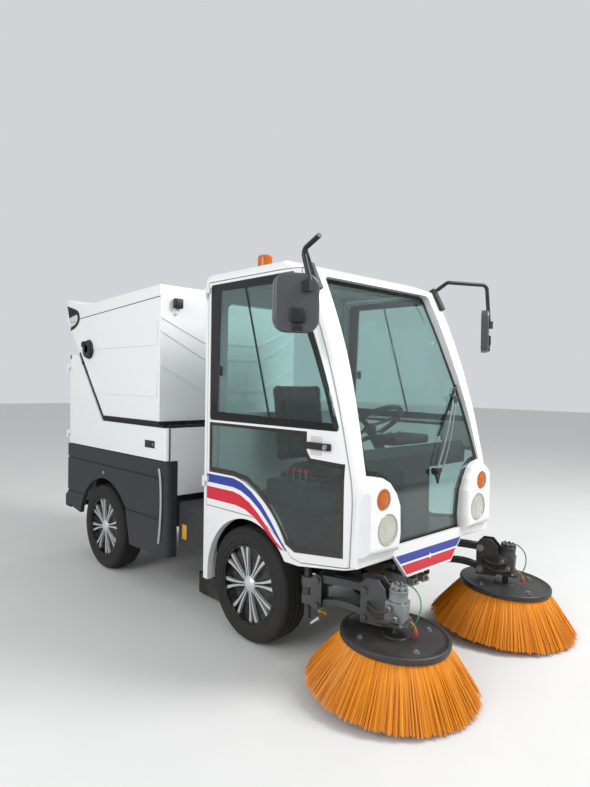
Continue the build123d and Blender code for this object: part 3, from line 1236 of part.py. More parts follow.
# Brush arms
for name, side in SIDES:
    # the right arm points inwards and the left arm outwards, both towards the machine's left
    heading = radians(ARM_ANGLE[name])
    along = Vector(cos(heading), sin(heading), 0)
    post = Vector(POST_X, side * POST_Y, 0)
    flat = Plane(origin=post, x_dir=along, z_dir=(0, 0, 1))
    upright = Plane(origin=post, x_dir=along, z_dir=along.cross(Vector(0, 0, 1)))

    with BuildPart() as swing:
        for lug_z in (307.5, 388.5):
            with BuildSketch(flat.offset(lug_z)):
                Circle(30)
                with Locations((22, 0)):
                    Rectangle(44, 56)
                Circle(POST_RADIUS + HINGE_RUNNING, mode=Mode.SUBTRACT)
            extrude(amount=44)
        for cheek in (-34.0, 34.0):
            with BuildSketch(upright.offset(cheek)):
                with Locations((LINK_REAR - 2, (LINK_UPPER_Z + LINK_LOWER_Z) / 2)):
                    RectangleRounded(44, LINK_UPPER_Z - LINK_LOWER_Z + 44, 18)
            extrude(amount=5, both=True)
        with BuildSketch(upright):
            with Locations((42, 370)):
                Rectangle(16, 140)
        extrude(amount=34, both=True)
        for pivot_z in (LINK_LOWER_Z, LINK_UPPER_Z):
            with BuildSketch(upright):
                with Locations((LINK_REAR, pivot_z)):
                    Circle(8)
            extrude(amount=38, both=True)
    write(swing.part, f"arm_bracket_{name}")

    # the upper link is straight and deep, the lower one bows upwards between its pins
    link_rows = (("upper", LINK_UPPER_Z, 36.0, 2.0), ("lower", LINK_LOWER_Z, 30.0, 24.0))
    for link_name, pivot_z, depth, bow in link_rows:
        with BuildPart() as link:
            with BuildSketch(upright):
                with Locations((LINK_REAR, pivot_z)):
                    add(bowed_link(LINK_LENGTH, depth, bow))
                with Locations((LINK_REAR, pivot_z), (LINK_REAR + LINK_LENGTH, pivot_z)):
                    Circle(8 + HINGE_RUNNING, mode=Mode.SUBTRACT)
            extrude(amount=22, both=True)
            # window between the two flanges of the link
            with BuildSketch(upright):
                with Locations((LINK_REAR + LINK_LENGTH / 2, pivot_z + bow)):
                    Rectangle(LINK_LENGTH - 110, depth + 30)
            extrude(amount=12, both=True, mode=Mode.SUBTRACT)
        write(link.part, f"arm_{link_name}_link_{name}")

    head_x = LINK_REAR + LINK_LENGTH
    lean = radians(BRUSH_LEAN)
    spin_dir = Vector(along.X * sin(lean), along.Y * sin(lean), cos(lean))
    hub_point = post + along * BRUSH_REACH + Vector(0, 0, DISC_Z)
    hub_plane = Plane(origin=hub_point, x_dir=along.cross(Vector(0, 0, 1)), z_dir=spin_dir)
    with BuildPart() as head:
        for cheek in (-34.0, 34.0):
            with BuildSketch(upright.offset(cheek)):
                with BuildLine():
                    Polyline((head_x - 20, 290), (head_x - 20, 462), (head_x + 8, 490), (head_x + 62, 490),
                             (head_x + 96, 452), (head_x + 112, 380), (head_x + 112, 330), (head_x + 84, 290),
                             (head_x - 20, 290))
                make_face()
            extrude(amount=5, both=True)
        for pivot_z in (LINK_LOWER_Z, LINK_UPPER_Z):
            with BuildSketch(upright):
                with Locations((head_x, pivot_z)):
                    Circle(8)
            extrude(amount=38, both=True)
        with BuildSketch(upright):
            with Locations((head_x + 40, 395)):
                Rectangle(16, 150)
        extrude(amount=34, both=True)
        # hydraulic motor on its plate: flange, square body, round gear ring and bolted end cap
        with BuildSketch(hub_plane.offset(56)):
            RectangleRounded(100, 130, 16)
        extrude(amount=14)
        with BuildSketch(hub_plane.offset(69)):
            RectangleRounded(84, 84, 20)
        extrude(amount=92)
        with BuildSketch(hub_plane.offset(160)):
            Circle(MOTOR_RADIUS)
        extrude(amount=52)
        with BuildSketch(hub_plane.offset(211)):
            Circle(MOTOR_RADIUS - 6)
        extrude(amount=12)
        with BuildSketch(hub_plane.offset(222)):
            with PolarLocations(MOTOR_RADIUS - 16, 6):
                Circle(5.5)
        extrude(amount=7)
        # hose ports on the side of the body
        port_plane = Plane(origin=hub_plane.origin, x_dir=hub_plane.z_dir, z_dir=hub_plane.x_dir)
        with BuildSketch(port_plane.offset(40)):
            with Locations((100, -16), (136, 16)):
                Circle(12)
        extrude(amount=24)
        with BuildSketch(hub_plane.offset(10.5)):
            Circle(16)
        extrude(amount=50)
    write(head.part, f"brush_head_{name}")

    length = (DISC_Z - BRISTLE_CLEAR - BRISTLE_RADIUS * sin(lean)) / cos(lean)
    with BuildPart() as brush:
        with BuildSketch(Plane(origin=hub_point, x_dir=hub_plane.x_dir, z_dir=-hub_plane.y_dir)):
            Polygon((0, 0), (0, 10), (DISC_RADIUS - 26, 10), (DISC_RADIUS - 20, 17), (DISC_RADIUS - 5, 17),
                    (DISC_RADIUS, 12), (DISC_RADIUS, -10), (BRISTLE_TOP_RADIUS, -10),
                    (BRISTLE_RADIUS, -length), (BRISTLE_RADIUS - 130, -length), (120, -10), (120, 0),
                    align=None)
        revolve(axis=Axis(hub_point, spin_dir))
    write(brush.part, f"brush_{name}")
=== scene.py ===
# %% [markdown]
# # A compact street sweeper truck
#
# The solids of the truck come from its CAD model, in metres, with x forward, y to its left and z up.
# This lesson gives them their finishes and adds what a CAD model leaves out: tyre tread, bristles,
# window borders, stripes, lamps, hoses and bolts.

import math
import random

import bmesh
import bpy
from mathutils import Matrix, Vector
from mathutils.bvhtree import BVHTree


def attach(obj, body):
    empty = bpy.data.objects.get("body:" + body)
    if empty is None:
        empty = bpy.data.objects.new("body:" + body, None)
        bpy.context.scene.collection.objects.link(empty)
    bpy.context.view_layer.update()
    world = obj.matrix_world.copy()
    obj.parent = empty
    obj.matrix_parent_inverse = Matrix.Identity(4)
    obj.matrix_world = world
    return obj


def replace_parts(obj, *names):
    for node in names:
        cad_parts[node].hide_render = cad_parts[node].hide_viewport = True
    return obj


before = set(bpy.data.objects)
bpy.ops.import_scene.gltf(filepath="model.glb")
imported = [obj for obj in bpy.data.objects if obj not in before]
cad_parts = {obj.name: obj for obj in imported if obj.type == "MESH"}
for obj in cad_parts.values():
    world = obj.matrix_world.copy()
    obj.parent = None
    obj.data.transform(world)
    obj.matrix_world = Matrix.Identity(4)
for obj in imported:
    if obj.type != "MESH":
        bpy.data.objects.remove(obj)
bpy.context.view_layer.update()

# %% [markdown]
# The truck was drawn in millimetres on its own centreline, with the ground at zero and the front
# axle at x = 800, and then moved so that its overall box is centred. One small function repeats
# that move, so that every piece below can be placed by the numbers of the drawing.

# %% Places in the drawing's millimetres
FRAME_MID_X = 262.0
FRAME_MID_Y = 64.0
SIDES = (("right", -1), ("left", 1))


def at(x, y, z):
    """A point of the drawing, in millimetres, as a point of the frame, in metres."""
    return Vector(((x - FRAME_MID_X) / 1000, (y - FRAME_MID_Y) / 1000, z / 1000))


print("front axle at", [round(v, 3) for v in at(800, 0, 300)])

# %% [markdown]
# ## Camera, floor and light
#
# The camera stands where the photograph was taken, at eye height before the truck's right front
# corner. The light is a plain soft studio: a bright even world, one large key lamp and a fill.

# %% Camera
CAMERA_POINT = (3158.0, -2490.2, 1350.9)
CAMERA_YAW = math.radians(136.226)
CAMERA_PITCH = math.radians(-1.073)
CAMERA_ROLL = math.radians(0.899)
CAMERA_LENS = 27.03

forward = Vector((math.cos(CAMERA_PITCH) * math.cos(CAMERA_YAW), math.cos(CAMERA_PITCH) * math.sin(CAMERA_YAW),
                  math.sin(CAMERA_PITCH)))
level_right = Vector((math.sin(CAMERA_YAW), -math.cos(CAMERA_YAW), 0.0))
level_up = level_right.cross(forward)
right = level_right * math.cos(CAMERA_ROLL) + level_up * math.sin(CAMERA_ROLL)
up = right.cross(forward)
camera_data = bpy.data.cameras.new("camera")
camera_data.lens = CAMERA_LENS
camera_data.sensor_width = 36.0
camera_data.sensor_fit = "AUTO"
camera = bpy.data.objects.new("camera", camera_data)
camera.matrix_world = Matrix.Translation(at(*CAMERA_POINT)) @ Matrix((
    (right.x, up.x, -forward.x, 0.0),
    (right.y, up.y, -forward.y, 0.0),
    (right.z, up.z, -forward.z, 0.0),
    (0.0, 0.0, 0.0, 1.0)))
bpy.context.scene.collection.objects.link(camera)
bpy.context.scene.camera = camera
print("camera", [round(v, 3) for v in camera.location])


# %% [markdown]
# ## Finishes
#
# Colours are written as the sRGB hex values that a colour picker shows, and one function turns
# them to the linear values that Blender's shaders work in. One more small function adds a node.

# %% Colour and node helpers
def colour(code):
    """sRGB hex colour as a linear RGBA value."""
    channels = [int(code[i:i + 2], 16) / 255 for i in (1, 3, 5)]
    return [c / 12.92 if c <= 0.04045 else ((c + 0.055) / 1.055) ** 2.4 for c in channels] + [1.0]


def add_node(tree, kind, settings=None, links=None):
    """Adds a node, sets its sockets and options by name, and links its inputs."""
    node = tree.nodes.new(kind)
    for key, value in (settings or {}).items():
        if isinstance(key, int) or key in node.inputs:
            node.inputs[key].default_value = value
        else:
            setattr(node, key, value)
    for key, source in (links or {}).items():
        tree.links.new(source, node.inputs[key])
    return node


def new_material(name):
    """A material with its shader, and the object coordinates that its patterns are laid on."""
    material = bpy.data.materials.new(name)
    material.use_nodes = True
    tree = material.node_tree
    shader = tree.nodes["Principled BSDF"]
    place = add_node(tree, "ShaderNodeTexCoord").outputs["Object"]
    return material, tree, shader, place


# %% [markdown]
# Road machines are painted with a hard enamel that dries with a faint orange peel, and they carry
# a film of road dust that thickens towards the ground. The peel is a fine bump, and the dust a
# second, duller colour that a noise lets through, more of it low down. Each finish says how wide its
# peel or grain is, in millimetres. Moulded grain is really finer than a millimetre, and is drawn 1 to
# 2 mm wide so that it shows.

# %% Painted, moulded and rubber finishes
def coated(name, tint, dust_tint="#8E877B", dust=0.25, dust_top=0.9, roughness=0.32, grain=4.0, bump=0.04,
           metallic=0.0, coat=0.0):
    """A coated or moulded surface: its colour, a grain in millimetres and road dust up to a height in metres."""
    material, tree, shader, place = new_material(name)
    height = add_node(tree, "ShaderNodeSeparateXYZ", links={"Vector": place}).outputs["Z"]
    low = add_node(tree, "ShaderNodeMapRange", {"From Min": dust_top, "From Max": 0.1, "To Min": 0.0, "To Max": 1.0},
                   {"Value": height})
    # the dust lies in patches about 200 mm across
    patches = add_node(tree, "ShaderNodeTexNoise", {"Scale": 5.0, "Detail": 6.0, "Roughness": 0.6}, {"Vector": place})
    sharp = add_node(tree, "ShaderNodeMapRange", {"From Min": 0.35, "From Max": 0.75, "To Min": 0.15, "To Max": 1.0},
                     {"Value": patches.outputs["Fac"]})
    film = add_node(tree, "ShaderNodeMath", {"operation": "MULTIPLY"},
                    {0: low.outputs["Result"], 1: sharp.outputs["Result"]})
    amount = add_node(tree, "ShaderNodeMath", {"operation": "MULTIPLY", 1: dust}, {0: film.outputs["Value"]})
    mixed = add_node(tree, "ShaderNodeMix", {"data_type": "RGBA", 6: colour(tint), 7: colour(dust_tint)},
                     {0: amount.outputs["Value"]})
    dull = add_node(tree, "ShaderNodeMapRange", {"From Min": 0.0, "From Max": 1.0, "To Min": roughness,
                                                 "To Max": min(roughness + 0.35, 0.95)},
                    {"Value": film.outputs["Value"]})
    peel = add_node(tree, "ShaderNodeTexNoise", {"Scale": 1000.0 / grain, "Detail": 2.0}, {"Vector": place})
    relief = add_node(tree, "ShaderNodeBump", {"Strength": bump, "Distance": 0.001}, {"Height": peel.outputs["Fac"]})
    tree.links.new(mixed.outputs[2], shader.inputs["Base Color"])
    tree.links.new(dull.outputs["Result"], shader.inputs["Roughness"])
    tree.links.new(relief.outputs["Normal"], shader.inputs["Normal"])
    shader.inputs["Metallic"].default_value = metallic
    shader.inputs["Coat Weight"].default_value = coat
    return material


# sprayed enamel: bright white with a soft, wide highlight
WHITE_ENAMEL = coated("white_enamel", "#E9EAEA", dust=0.30, dust_top=0.8, roughness=0.30, grain=6.0, bump=0.02,
                      coat=0.3)
# moulded ABS with a grained face: dark grey, made darker still as painted shade; its highlights spread thin
CHARCOAL_ABS_WITH_PAINTED_SHADE = coated("charcoal_abs_with_painted_shade", "#232529", dust_tint="#6F6D6A", dust=0.28, roughness=0.55, grain=1.2, bump=0.25)
# fine-grained ABS: near black, with a dull gleam on its edges
BLACK_ABS = coated("black_abs", "#16171A", dust=0.2, roughness=0.45, grain=1.0, bump=0.18)
# chassis enamel: black and half glossy, greyed low down by dust
BLACK_ENAMEL = coated("black_enamel", "#17181A", dust=0.3, roughness=0.38, grain=5.0, bump=0.05)
# metallic grey enamel: darkens where a plate turns from the light
GUNMETAL = coated("gunmetal_paint", "#3B3F43", dust=0.4, roughness=0.42, grain=5.0, bump=0.06, metallic=0.3)
# rotomoulded polyethylene: waxy black with a slightly uneven skin
TANK_PLASTIC = coated("tank_polyethylene", "#1B1D20", dust=0.25, roughness=0.5, grain=2.0, bump=0.15)
# vulcanised rubber: matt, and browner where dust sits on it
TYRE_RUBBER = coated("tyre_rubber", "#161617", dust_tint="#5F5A52", dust=0.22, dust_top=0.7, roughness=0.75, grain=1.5,
                     bump=0.2)
# extruded seal rubber: the flattest black on the truck
SOFT_RUBBER = coated("black_rubber", "#121213", dust=0.3, roughness=0.7, grain=2.0, bump=0.1)
# sand-cast iron: rough and dull with a grey glint
CAST_IRON = coated("cast_iron", "#3A3A3A", dust=0.5, roughness=0.6, grain=3.0, bump=0.4, metallic=0.6)
# ground hard chrome: a mirror drawn out along the rod
CHROME_ROD = coated("chromed_rod", "#D8DADC", dust=0.1, roughness=0.12, grain=2.0, bump=0.0, metallic=1.0)
# extruded polypropylene: an even orange for the plain CAD brush
BRISTLE = coated("polypropylene_bristle", "#E8992A", dust_tint="#8A5A1C", dust=0.5, dust_top=0.25, roughness=0.42,
                 grain=3.0, bump=0.05)
# embossed vinyl: dark, with a soft broken sheen
SEAT_VINYL = coated("seat_vinyl", "#1E2024", dust=0.05, roughness=0.6, grain=1.5, bump=0.35)
print("painted, moulded and rubber finishes made, materials", len(bpy.data.materials))

# %% [markdown]
# The cab is glazed with tinted safety glass, and the lamps have moulded lenses. Both are solids that
# light passes through, so they share one function. A pane is never quite flat or clean, which a faint
# ripple and a haze of dust show in its reflections.

# %% Glass and lenses
def clear_solid(name, tint, roughness=0.02, ior=1.5, weight=1.0):
    """Glass or clear plastic, with the faint ripple and dust that keep its reflections from being perfect."""
    material, tree, shader, place = new_material(name)
    # the ripple's waves are about 170 mm long, and the patches of haze about 110 mm across
    ripple = add_node(tree, "ShaderNodeTexNoise", {"Scale": 6.0, "Detail": 1.0}, {"Vector": place})
    relief = add_node(tree, "ShaderNodeBump", {"Strength": 0.02, "Distance": 0.001}, {"Height": ripple.outputs["Fac"]})
    haze = add_node(tree, "ShaderNodeTexNoise", {"Scale": 9.0, "Detail": 5.0}, {"Vector": place})
    film = add_node(tree, "ShaderNodeMapRange", {"From Min": 0.4, "From Max": 0.8, "To Min": roughness,
                                                 "To Max": roughness + 0.05}, {"Value": haze.outputs["Fac"]})
    tree.links.new(relief.outputs["Normal"], shader.inputs["Normal"])
    tree.links.new(film.outputs["Result"], shader.inputs["Roughness"])
    shader.inputs["Base Color"].default_value = colour(tint)
    shader.inputs["Transmission Weight"].default_value = weight
    shader.inputs["IOR"].default_value = ior
    return material


# float glass tinted in the melt: a faint green, deeper through two panes
TINTED_GLASS = clear_solid("tinted_glass", "#CBE3E0")
# moulded amber acrylic: the light inside it looks orange
AMBER_LENS = clear_solid("amber_lens", "#F08A1E", roughness=0.12, weight=0.6)
# moulded red acrylic: a deep red that lets little through
RED_LENS = clear_solid("red_lens", "#C41F1A", roughness=0.12, weight=0.5)
# moulded clear plastic: shows the bowl behind it
CLEAR_LENS = clear_solid("clear_lens", "#FBFBF6", roughness=0.08, weight=0.9)
print("glass and lenses made, materials", len(bpy.data.materials))


# %% [markdown]
# ## More finishes
#
# The small parts bring metals, films and lenses of their own. Zinc plating is a grey metal with a
# soft shine, brass is warmer and glossier, and cut vinyl film is a smooth even colour with almost no
# grain. Ceramic ink on glass is black and as glossy as the glass.

# %% Metals, films and inks
# ceramic ink fired on glass: black, and as glossy as the glass
CERAMIC_BLACK = coated("ceramic_ink_on_glass", "#0C0D0F", dust=0.1, roughness=0.08, grain=8.0, bump=0.01)
# the same ink in bronze: a brown-black edge
BRONZE_EDGE = coated("bronze_ink_on_glass", "#2E271E", dust=0.1, roughness=0.12, grain=8.0, bump=0.01)
# the white enamel in a recess, where less light reaches it
SHADED_ENAMEL = coated("white_enamel_in_the_handle_dish", "#C9CBCC", dust=0.2, roughness=0.35, grain=6.0, bump=0.02)
# cast vinyl film: one flat colour with an even, soft shine
BLUE_FILM = coated("blue_vinyl_film", "#20379A", dust=0.12, roughness=0.28, grain=12.0, bump=0.01)
# the same film in red
RED_FILM = coated("red_vinyl_film", "#CE0F2C", dust=0.12, roughness=0.28, grain=12.0, bump=0.01)
# zinc-plated steel: pale grey with a blurred metal shine
ZINC = coated("zinc_plated_steel", "#9A9D9E", dust=0.3, roughness=0.38, grain=1.5, bump=0.05, metallic=0.85)
# turned brass: warm, and a little sharper than the zinc
BRASS = coated("brass_fitting", "#B99A5B", dust=0.3, roughness=0.3, grain=2.0, bump=0.05, metallic=0.9)
# silvered bowl: reads as pale silver through the lens
LAMP_BOWL = coated("silvered_lamp_bowl", "#F3F1EA", dust=0.05, roughness=0.3, grain=8.0, bump=0.03, metallic=0.15)
# enamelled steel plate scuffed by grit: satin black
DISC_ENAMEL = coated("brush_disc_enamel", "#1C1D20", dust_tint="#7A7166", dust=0.3, dust_top=0.6, roughness=0.36,
                     grain=6.0, bump=0.05)
# prismatic acrylic: a bright patch that breaks up the light
YELLOW_REFLECTOR = coated("yellow_reflector_acrylic", "#C9951B", dust=0.2, roughness=0.15, grain=5.0, bump=0.3)
# smooth moulded ABS: dark grey with small clear highlights
MIRROR_SHELL = coated("mirror_shell_abs", "#4B4D50", dust=0.05, roughness=0.3, grain=3.0, bump=0.05)
# enamelled spring steel: mid grey against the dark glass
WIPER_STEEL = coated("wiper_arm_enamel", "#7C8082", dust=0.1, roughness=0.35, grain=3.0, bump=0.03)
# enamel sprayed over a casting: grey and lightly uneven
MOTOR_GREY = coated("motor_grey_enamel", "#7E8486", dust=0.35, roughness=0.4, grain=3.0, bump=0.08)
# the same enamel in black
MOTOR_BLACK = coated("motor_black_enamel", "#2A2C2F", dust=0.4, roughness=0.4, grain=3.0, bump=0.08)
# extruded polyurethane: green and slightly waxy
WATER_HOSE = coated("green_water_hose", "#2E7D5B", dust=0.15, roughness=0.35, grain=2.0, bump=0.03)
# moulded acetal: a clear red, half glossy
RED_CAP = coated("red_nozzle_cap", "#D3263C", dust=0.15, roughness=0.4, grain=2.0, bump=0.04)
# coated tube: light grey with one long thin highlight
GREY_TUBE = coated("light_grey_tube", "#B6BABB", dust=0.25, roughness=0.35, grain=3.0, bump=0.03)
# silvered glass: shows the studio
MIRROR_GLASS = coated("mirror_silvering", "#D5DADC", dust=0.05, roughness=0.03, grain=9.0, bump=0.0, metallic=1.0)
# grained ABS: near black and without glare
DASH_ABS = coated("dashboard_abs", "#24262A", dust=0.05, roughness=0.6, grain=1.0, bump=0.2)
print("metals, films and inks made, materials", len(bpy.data.materials))


# %% [markdown]
# Brush strip is extruded polypropylene. Each strip catches the light a little differently and is
# worn towards its tip, so the colour runs in streaks round the brush. The streaks are a noise over
# the angle about the brush's own centre, with one cell to about 14 mm of its edge at half height.

# %% Bristle plastic
def strip_plastic(name, centre):
    """Polypropylene brush strip, its colour in streaks round a centre that even out towards the worn tips."""
    material, tree, shader, place = new_material(name)
    local = add_node(tree, "ShaderNodeVectorMath", {"operation": "SUBTRACT", 1: centre}, {0: place})
    parts = add_node(tree, "ShaderNodeSeparateXYZ", links={"Vector": local.outputs["Vector"]})
    turn = add_node(tree, "ShaderNodeMath", {"operation": "ARCTAN2"}, {0: parts.outputs["Y"], 1: parts.outputs["X"]})
    streak = add_node(tree, "ShaderNodeTexNoise", {"noise_dimensions": "1D", "Scale": 22.0, "Detail": 5.0,
                                                   "Roughness": 0.75}, {"W": turn.outputs["Value"]})
    spread = add_node(tree, "ShaderNodeMapRange", {"From Min": 0.3, "From Max": 0.7}, {"Value": streak.outputs["Fac"]})
    mixed = add_node(tree, "ShaderNodeMix", {"data_type": "RGBA", 6: colour("#C96400"), 7: colour("#F7A506")},
                     {0: spread.outputs["Result"]})
    fall = add_node(tree, "ShaderNodeMapRange", {"From Min": -0.24, "From Max": -0.10, "To Min": 0.45, "To Max": 0.0},
                    {"Value": parts.outputs["Z"]})
    worn = add_node(tree, "ShaderNodeMix", {"data_type": "RGBA", 7: colour("#E8930E")},
                    {0: fall.outputs["Result"], 6: mixed.outputs[2]})
    tree.links.new(worn.outputs[2], shader.inputs["Base Color"])
    shader.inputs["Roughness"].default_value = 0.52
    return material


# %% [markdown]
# A wheel cover is one pressing: twin silver spokes over a black dish. The rims are single CAD
# solids, so one material paints both, with silver where the surface stands further out than the dish.

# %% Wheel cover paint
AXLES = (("front", 800.0), ("rear", -825.0))
WHEEL_Y = 472.5
AXLE_Z = 300.0
# in metres, as the shader measures: how far outwards the spokes start, and how far from the axle they end
SPOKES_OUT = 0.0535
SPOKES_REACH = 0.1945


def cover_paint(name, axle_x, side):
    """Silver lacquer on what stands proud of a dish, and black in the dish, for one wheel."""
    material, tree, shader, place = new_material(name)
    centre = at(axle_x, side * WHEEL_Y, AXLE_Z)
    local = add_node(tree, "ShaderNodeVectorMath", {"operation": "SUBTRACT", 1: centre}, {0: place})
    parts = add_node(tree, "ShaderNodeSeparateXYZ", links={"Vector": local.outputs["Vector"]})
    out = add_node(tree, "ShaderNodeMath", {"operation": "MULTIPLY", 1: float(side)}, {0: parts.outputs["Y"]})
    proud = add_node(tree, "ShaderNodeMath", {"operation": "GREATER_THAN", 1: SPOKES_OUT}, {0: out.outputs["Value"]})
    flat = add_node(tree, "ShaderNodeVectorMath", {"operation": "MULTIPLY", 1: (1.0, 0.0, 1.0)},
                    {0: local.outputs["Vector"]})
    reach = add_node(tree, "ShaderNodeVectorMath", {"operation": "LENGTH"}, {0: flat.outputs["Vector"]})
    inside = add_node(tree, "ShaderNodeMath", {"operation": "LESS_THAN", 1: SPOKES_REACH}, {0: reach.outputs["Value"]})
    silver = add_node(tree, "ShaderNodeMath", {"operation": "MULTIPLY"},
                      {0: proud.outputs["Value"], 1: inside.outputs["Value"]})
    # the grime lies in spots about 33 mm across
    grime = add_node(tree, "ShaderNodeTexNoise", {"Scale": 30.0, "Detail": 5.0}, {"Vector": place})
    dust = add_node(tree, "ShaderNodeMapRange", {"From Min": 0.45, "From Max": 0.8, "To Min": 0.0, "To Max": 0.3},
                    {"Value": grime.outputs["Fac"]})
    tint = add_node(tree, "ShaderNodeMix", {"data_type": "RGBA", 6: colour("#0E0F10"), 7: colour("#D4D7D8")},
                    {0: silver.outputs["Value"]})
    dusty = add_node(tree, "ShaderNodeMix", {"data_type": "RGBA", 7: colour("#8E877B")},
                     {0: dust.outputs["Result"], 6: tint.outputs[2]})
    tree.links.new(dusty.outputs[2], shader.inputs["Base Color"])
    tree.links.new(add_node(tree, "ShaderNodeMath", {"operation": "MULTIPLY", 1: 0.55},
                            {0: silver.outputs["Value"]}).outputs["Value"], shader.inputs["Metallic"])
    shader.inputs["Roughness"].default_value = 0.33
    return material


# %% [markdown]
# Most of the truck is the CAD solids themselves, so each is given its finish by name. Their meshes
# stay as they are. A list of finishes with their solids is shorter to read than one line for each
# solid, and it shows at once if a solid has been left out.

# %% Finishes on the CAD solids
NODE_FINISH = {
    WHITE_ENAMEL: ("cab_frame", "cab_roof", "front_panel", "bulkhead", "rear_body", "hopper", "hopper_lid"),
    # painted shade: the skirts, bumper and engine door get a charcoal darker than their own
    CHARCOAL_ABS_WITH_PAINTED_SHADE: ("side_skirts", "rear_bumper", "engine_door"),
    BLACK_ENAMEL: ("chassis_frame", "front_axle", "rear_axle", "cab_floor", "hopper_hatch", "lift_barrels",
                   "wheel_housings"),
    BLACK_ABS: ("dashboard", "mirrors", "wiper", "steering_wheel"),
    GUNMETAL: (),
    TANK_PLASTIC: ("side_tanks",),
    TYRE_RUBBER: (),
    SOFT_RUBBER: ("suction_mouth",),
    CAST_IRON: ("engine_block",),
    CHROME_ROD: ("lift_rods",),
    BRISTLE: (),
    SEAT_VINYL: ("driver_seat",),
    TINTED_GLASS: ("windscreen", "rear_window"),
    AMBER_LENS: ("indicators", "beacon"),
    RED_LENS: ("tail_lamps",),
    CLEAR_LENS: ("headlamps",),
}
PAIR_FINISH = ((WHITE_ENAMEL, ("door", "side_cover")), (TINTED_GLASS, ("door_glass",)), (BLACK_ENAMEL, ("knuckle",)),
               (TYRE_RUBBER, ("tyre_front", "tyre_rear")), (BRISTLE, ("brush",)))
ARM_FINISH = {"right": GUNMETAL, "left": BLACK_ENAMEL}
ARM_NODES = ("arm_bracket", "arm_upper_link", "arm_lower_link", "brush_head")
for name, side in SIDES:
    for finish, nodes in PAIR_FINISH + ((ARM_FINISH[name], ARM_NODES),):
        NODE_FINISH[finish] += tuple(f"{node}_{name}" for node in nodes)
    for row, axle_x in AXLES:
        NODE_FINISH[cover_paint(f"wheel_cover_{row}_{name}", axle_x, side)] = (f"rim_{row}_{name}",)
for finish, nodes in NODE_FINISH.items():
    for node in nodes:
        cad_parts[node].material_slots[0].material = finish
unfinished = set(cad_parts) - {node for nodes in NODE_FINISH.values() for node in nodes}
print("nodes with no finish:", sorted(unfinished))

# %% [markdown]
# ## Shaping tools
#
# Every piece is drawn in the drawing's millimetres, where its sizes are easy to read, and is moved
# to the frame once, when it is finished.

# %% Units and the up direction
TO_FRAME = Matrix.Scale(0.001, 4) @ Matrix.Translation((-FRAME_MID_X, -FRAME_MID_Y, 0.0))
TO_DRAWING = TO_FRAME.inverted()
UP = Vector((0.0, 0.0, 1.0))

# %% [markdown]
# A shape becomes a piece when it has a mesh, a finish and a body that it rides on. Edges
# sharper than a limit stay crisp and all others are shaded smooth, as on real pressings and mouldings.

# %% From a shape to a piece
SMOOTH_LIMIT = math.radians(38)


def make_piece(name, shape, finish, body):
    """Turns a bmesh in drawing millimetres into a named piece with its finish, on a body of the machine."""
    bmesh.ops.transform(shape, matrix=TO_FRAME, verts=shape.verts)
    bmesh.ops.recalc_face_normals(shape, faces=shape.faces)
    for edge in shape.edges:
        edge.smooth = len(edge.link_faces) == 2 and edge.calc_face_angle() < SMOOTH_LIMIT
    for face in shape.faces:
        face.smooth = True
    data = bpy.data.meshes.new(name)
    shape.to_mesh(data)
    shape.free()
    data.materials.append(finish)
    piece = bpy.data.objects.new(name, data)
    bpy.context.scene.collection.objects.link(piece)
    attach(piece, body)
    print(name, "faces", len(data.polygons))
    return piece


# %% [markdown]
# Lenses, caps, nuts and discs are turned on a lathe or look as if they were, so a section is drawn
# once and spun about an axis. A stamp then repeats a small form wherever it is needed.

# %% Turned forms and stamps
def stamp(shape, part, places):
    """Copies a small form into a shape, once for each place, and frees it."""
    holder = bpy.data.meshes.new("holder")
    for place in places:
        copy = part.copy()
        bmesh.ops.transform(copy, matrix=place, verts=copy.verts)
        copy.to_mesh(holder)
        copy.free()
        shape.from_mesh(holder)
    bpy.data.meshes.remove(holder)
    part.free()


def turned(profile, steps=48, closed=False):
    """A form turned about the z axis from (radius, height) points; a closed profile makes a ring."""
    part = bmesh.new()
    corners = [part.verts.new((radius, 0.0, height)) for radius, height in profile]
    edges = [part.edges.new(pair) for pair in zip(corners, corners[1:])]
    if closed:
        edges.append(part.edges.new((corners[-1], corners[0])))
    bmesh.ops.spin(part, geom=corners + edges, cent=(0, 0, 0), axis=UP, angle=math.tau, steps=steps, use_merge=True)
    bmesh.ops.remove_doubles(part, verts=part.verts, dist=0.001)
    return part


# %% [markdown]
# Most other trim is bar, moulded box or cut plate. A box gets its soft edges from a bevel, and a
# plate is one face pushed to its thickness. A place is a matrix that puts a form where it belongs.

# %% Bars, boxes and plates
def rod(shape, start, end, radius, tip_radius=None, sides=12):
    """A round bar between two points, tapered if its tip has a radius of its own."""
    start, end = Vector(start), Vector(end)
    turn = (end - start).to_track_quat("Z", "Y").to_matrix().to_4x4()
    bmesh.ops.create_cone(shape, cap_ends=True, segments=sides, radius1=radius, radius2=tip_radius or radius,
                          depth=(end - start).length, matrix=Matrix.Translation((start + end) / 2) @ turn)


def rounded(shape, edges, radius, segments=3):
    """Rounds some edges of a shape."""
    bmesh.ops.bevel(shape, geom=edges, offset=radius, affect="EDGES", segments=segments, profile=0.5, material=-1,
                    clamp_overlap=True)


def block(shape, corner, opposite, round_by=0.0, place=Matrix()):
    """A box between two opposite corners of a place, with its edges rounded."""
    low, high = Vector(map(min, corner, opposite)), Vector(map(max, corner, opposite))
    size = Matrix.Diagonal((*(high - low), 1.0))
    made = bmesh.ops.create_cube(shape, size=1.0, matrix=place @ Matrix.Translation((low + high) / 2) @ size)
    if round_by:
        rounded(shape, list({edge for vertex in made["verts"] for edge in vertex.link_edges}), round_by)


def plate(shape, corners, push):
    """A flat plate between an outline and the same outline pushed by a vector."""
    face = shape.faces.new([shape.verts.new(corner) for corner in corners])
    pushed = bmesh.ops.extrude_face_region(shape, geom=[face])["geom"]
    bmesh.ops.translate(shape, verts=[v for v in pushed if isinstance(v, bmesh.types.BMVert)], vec=push)


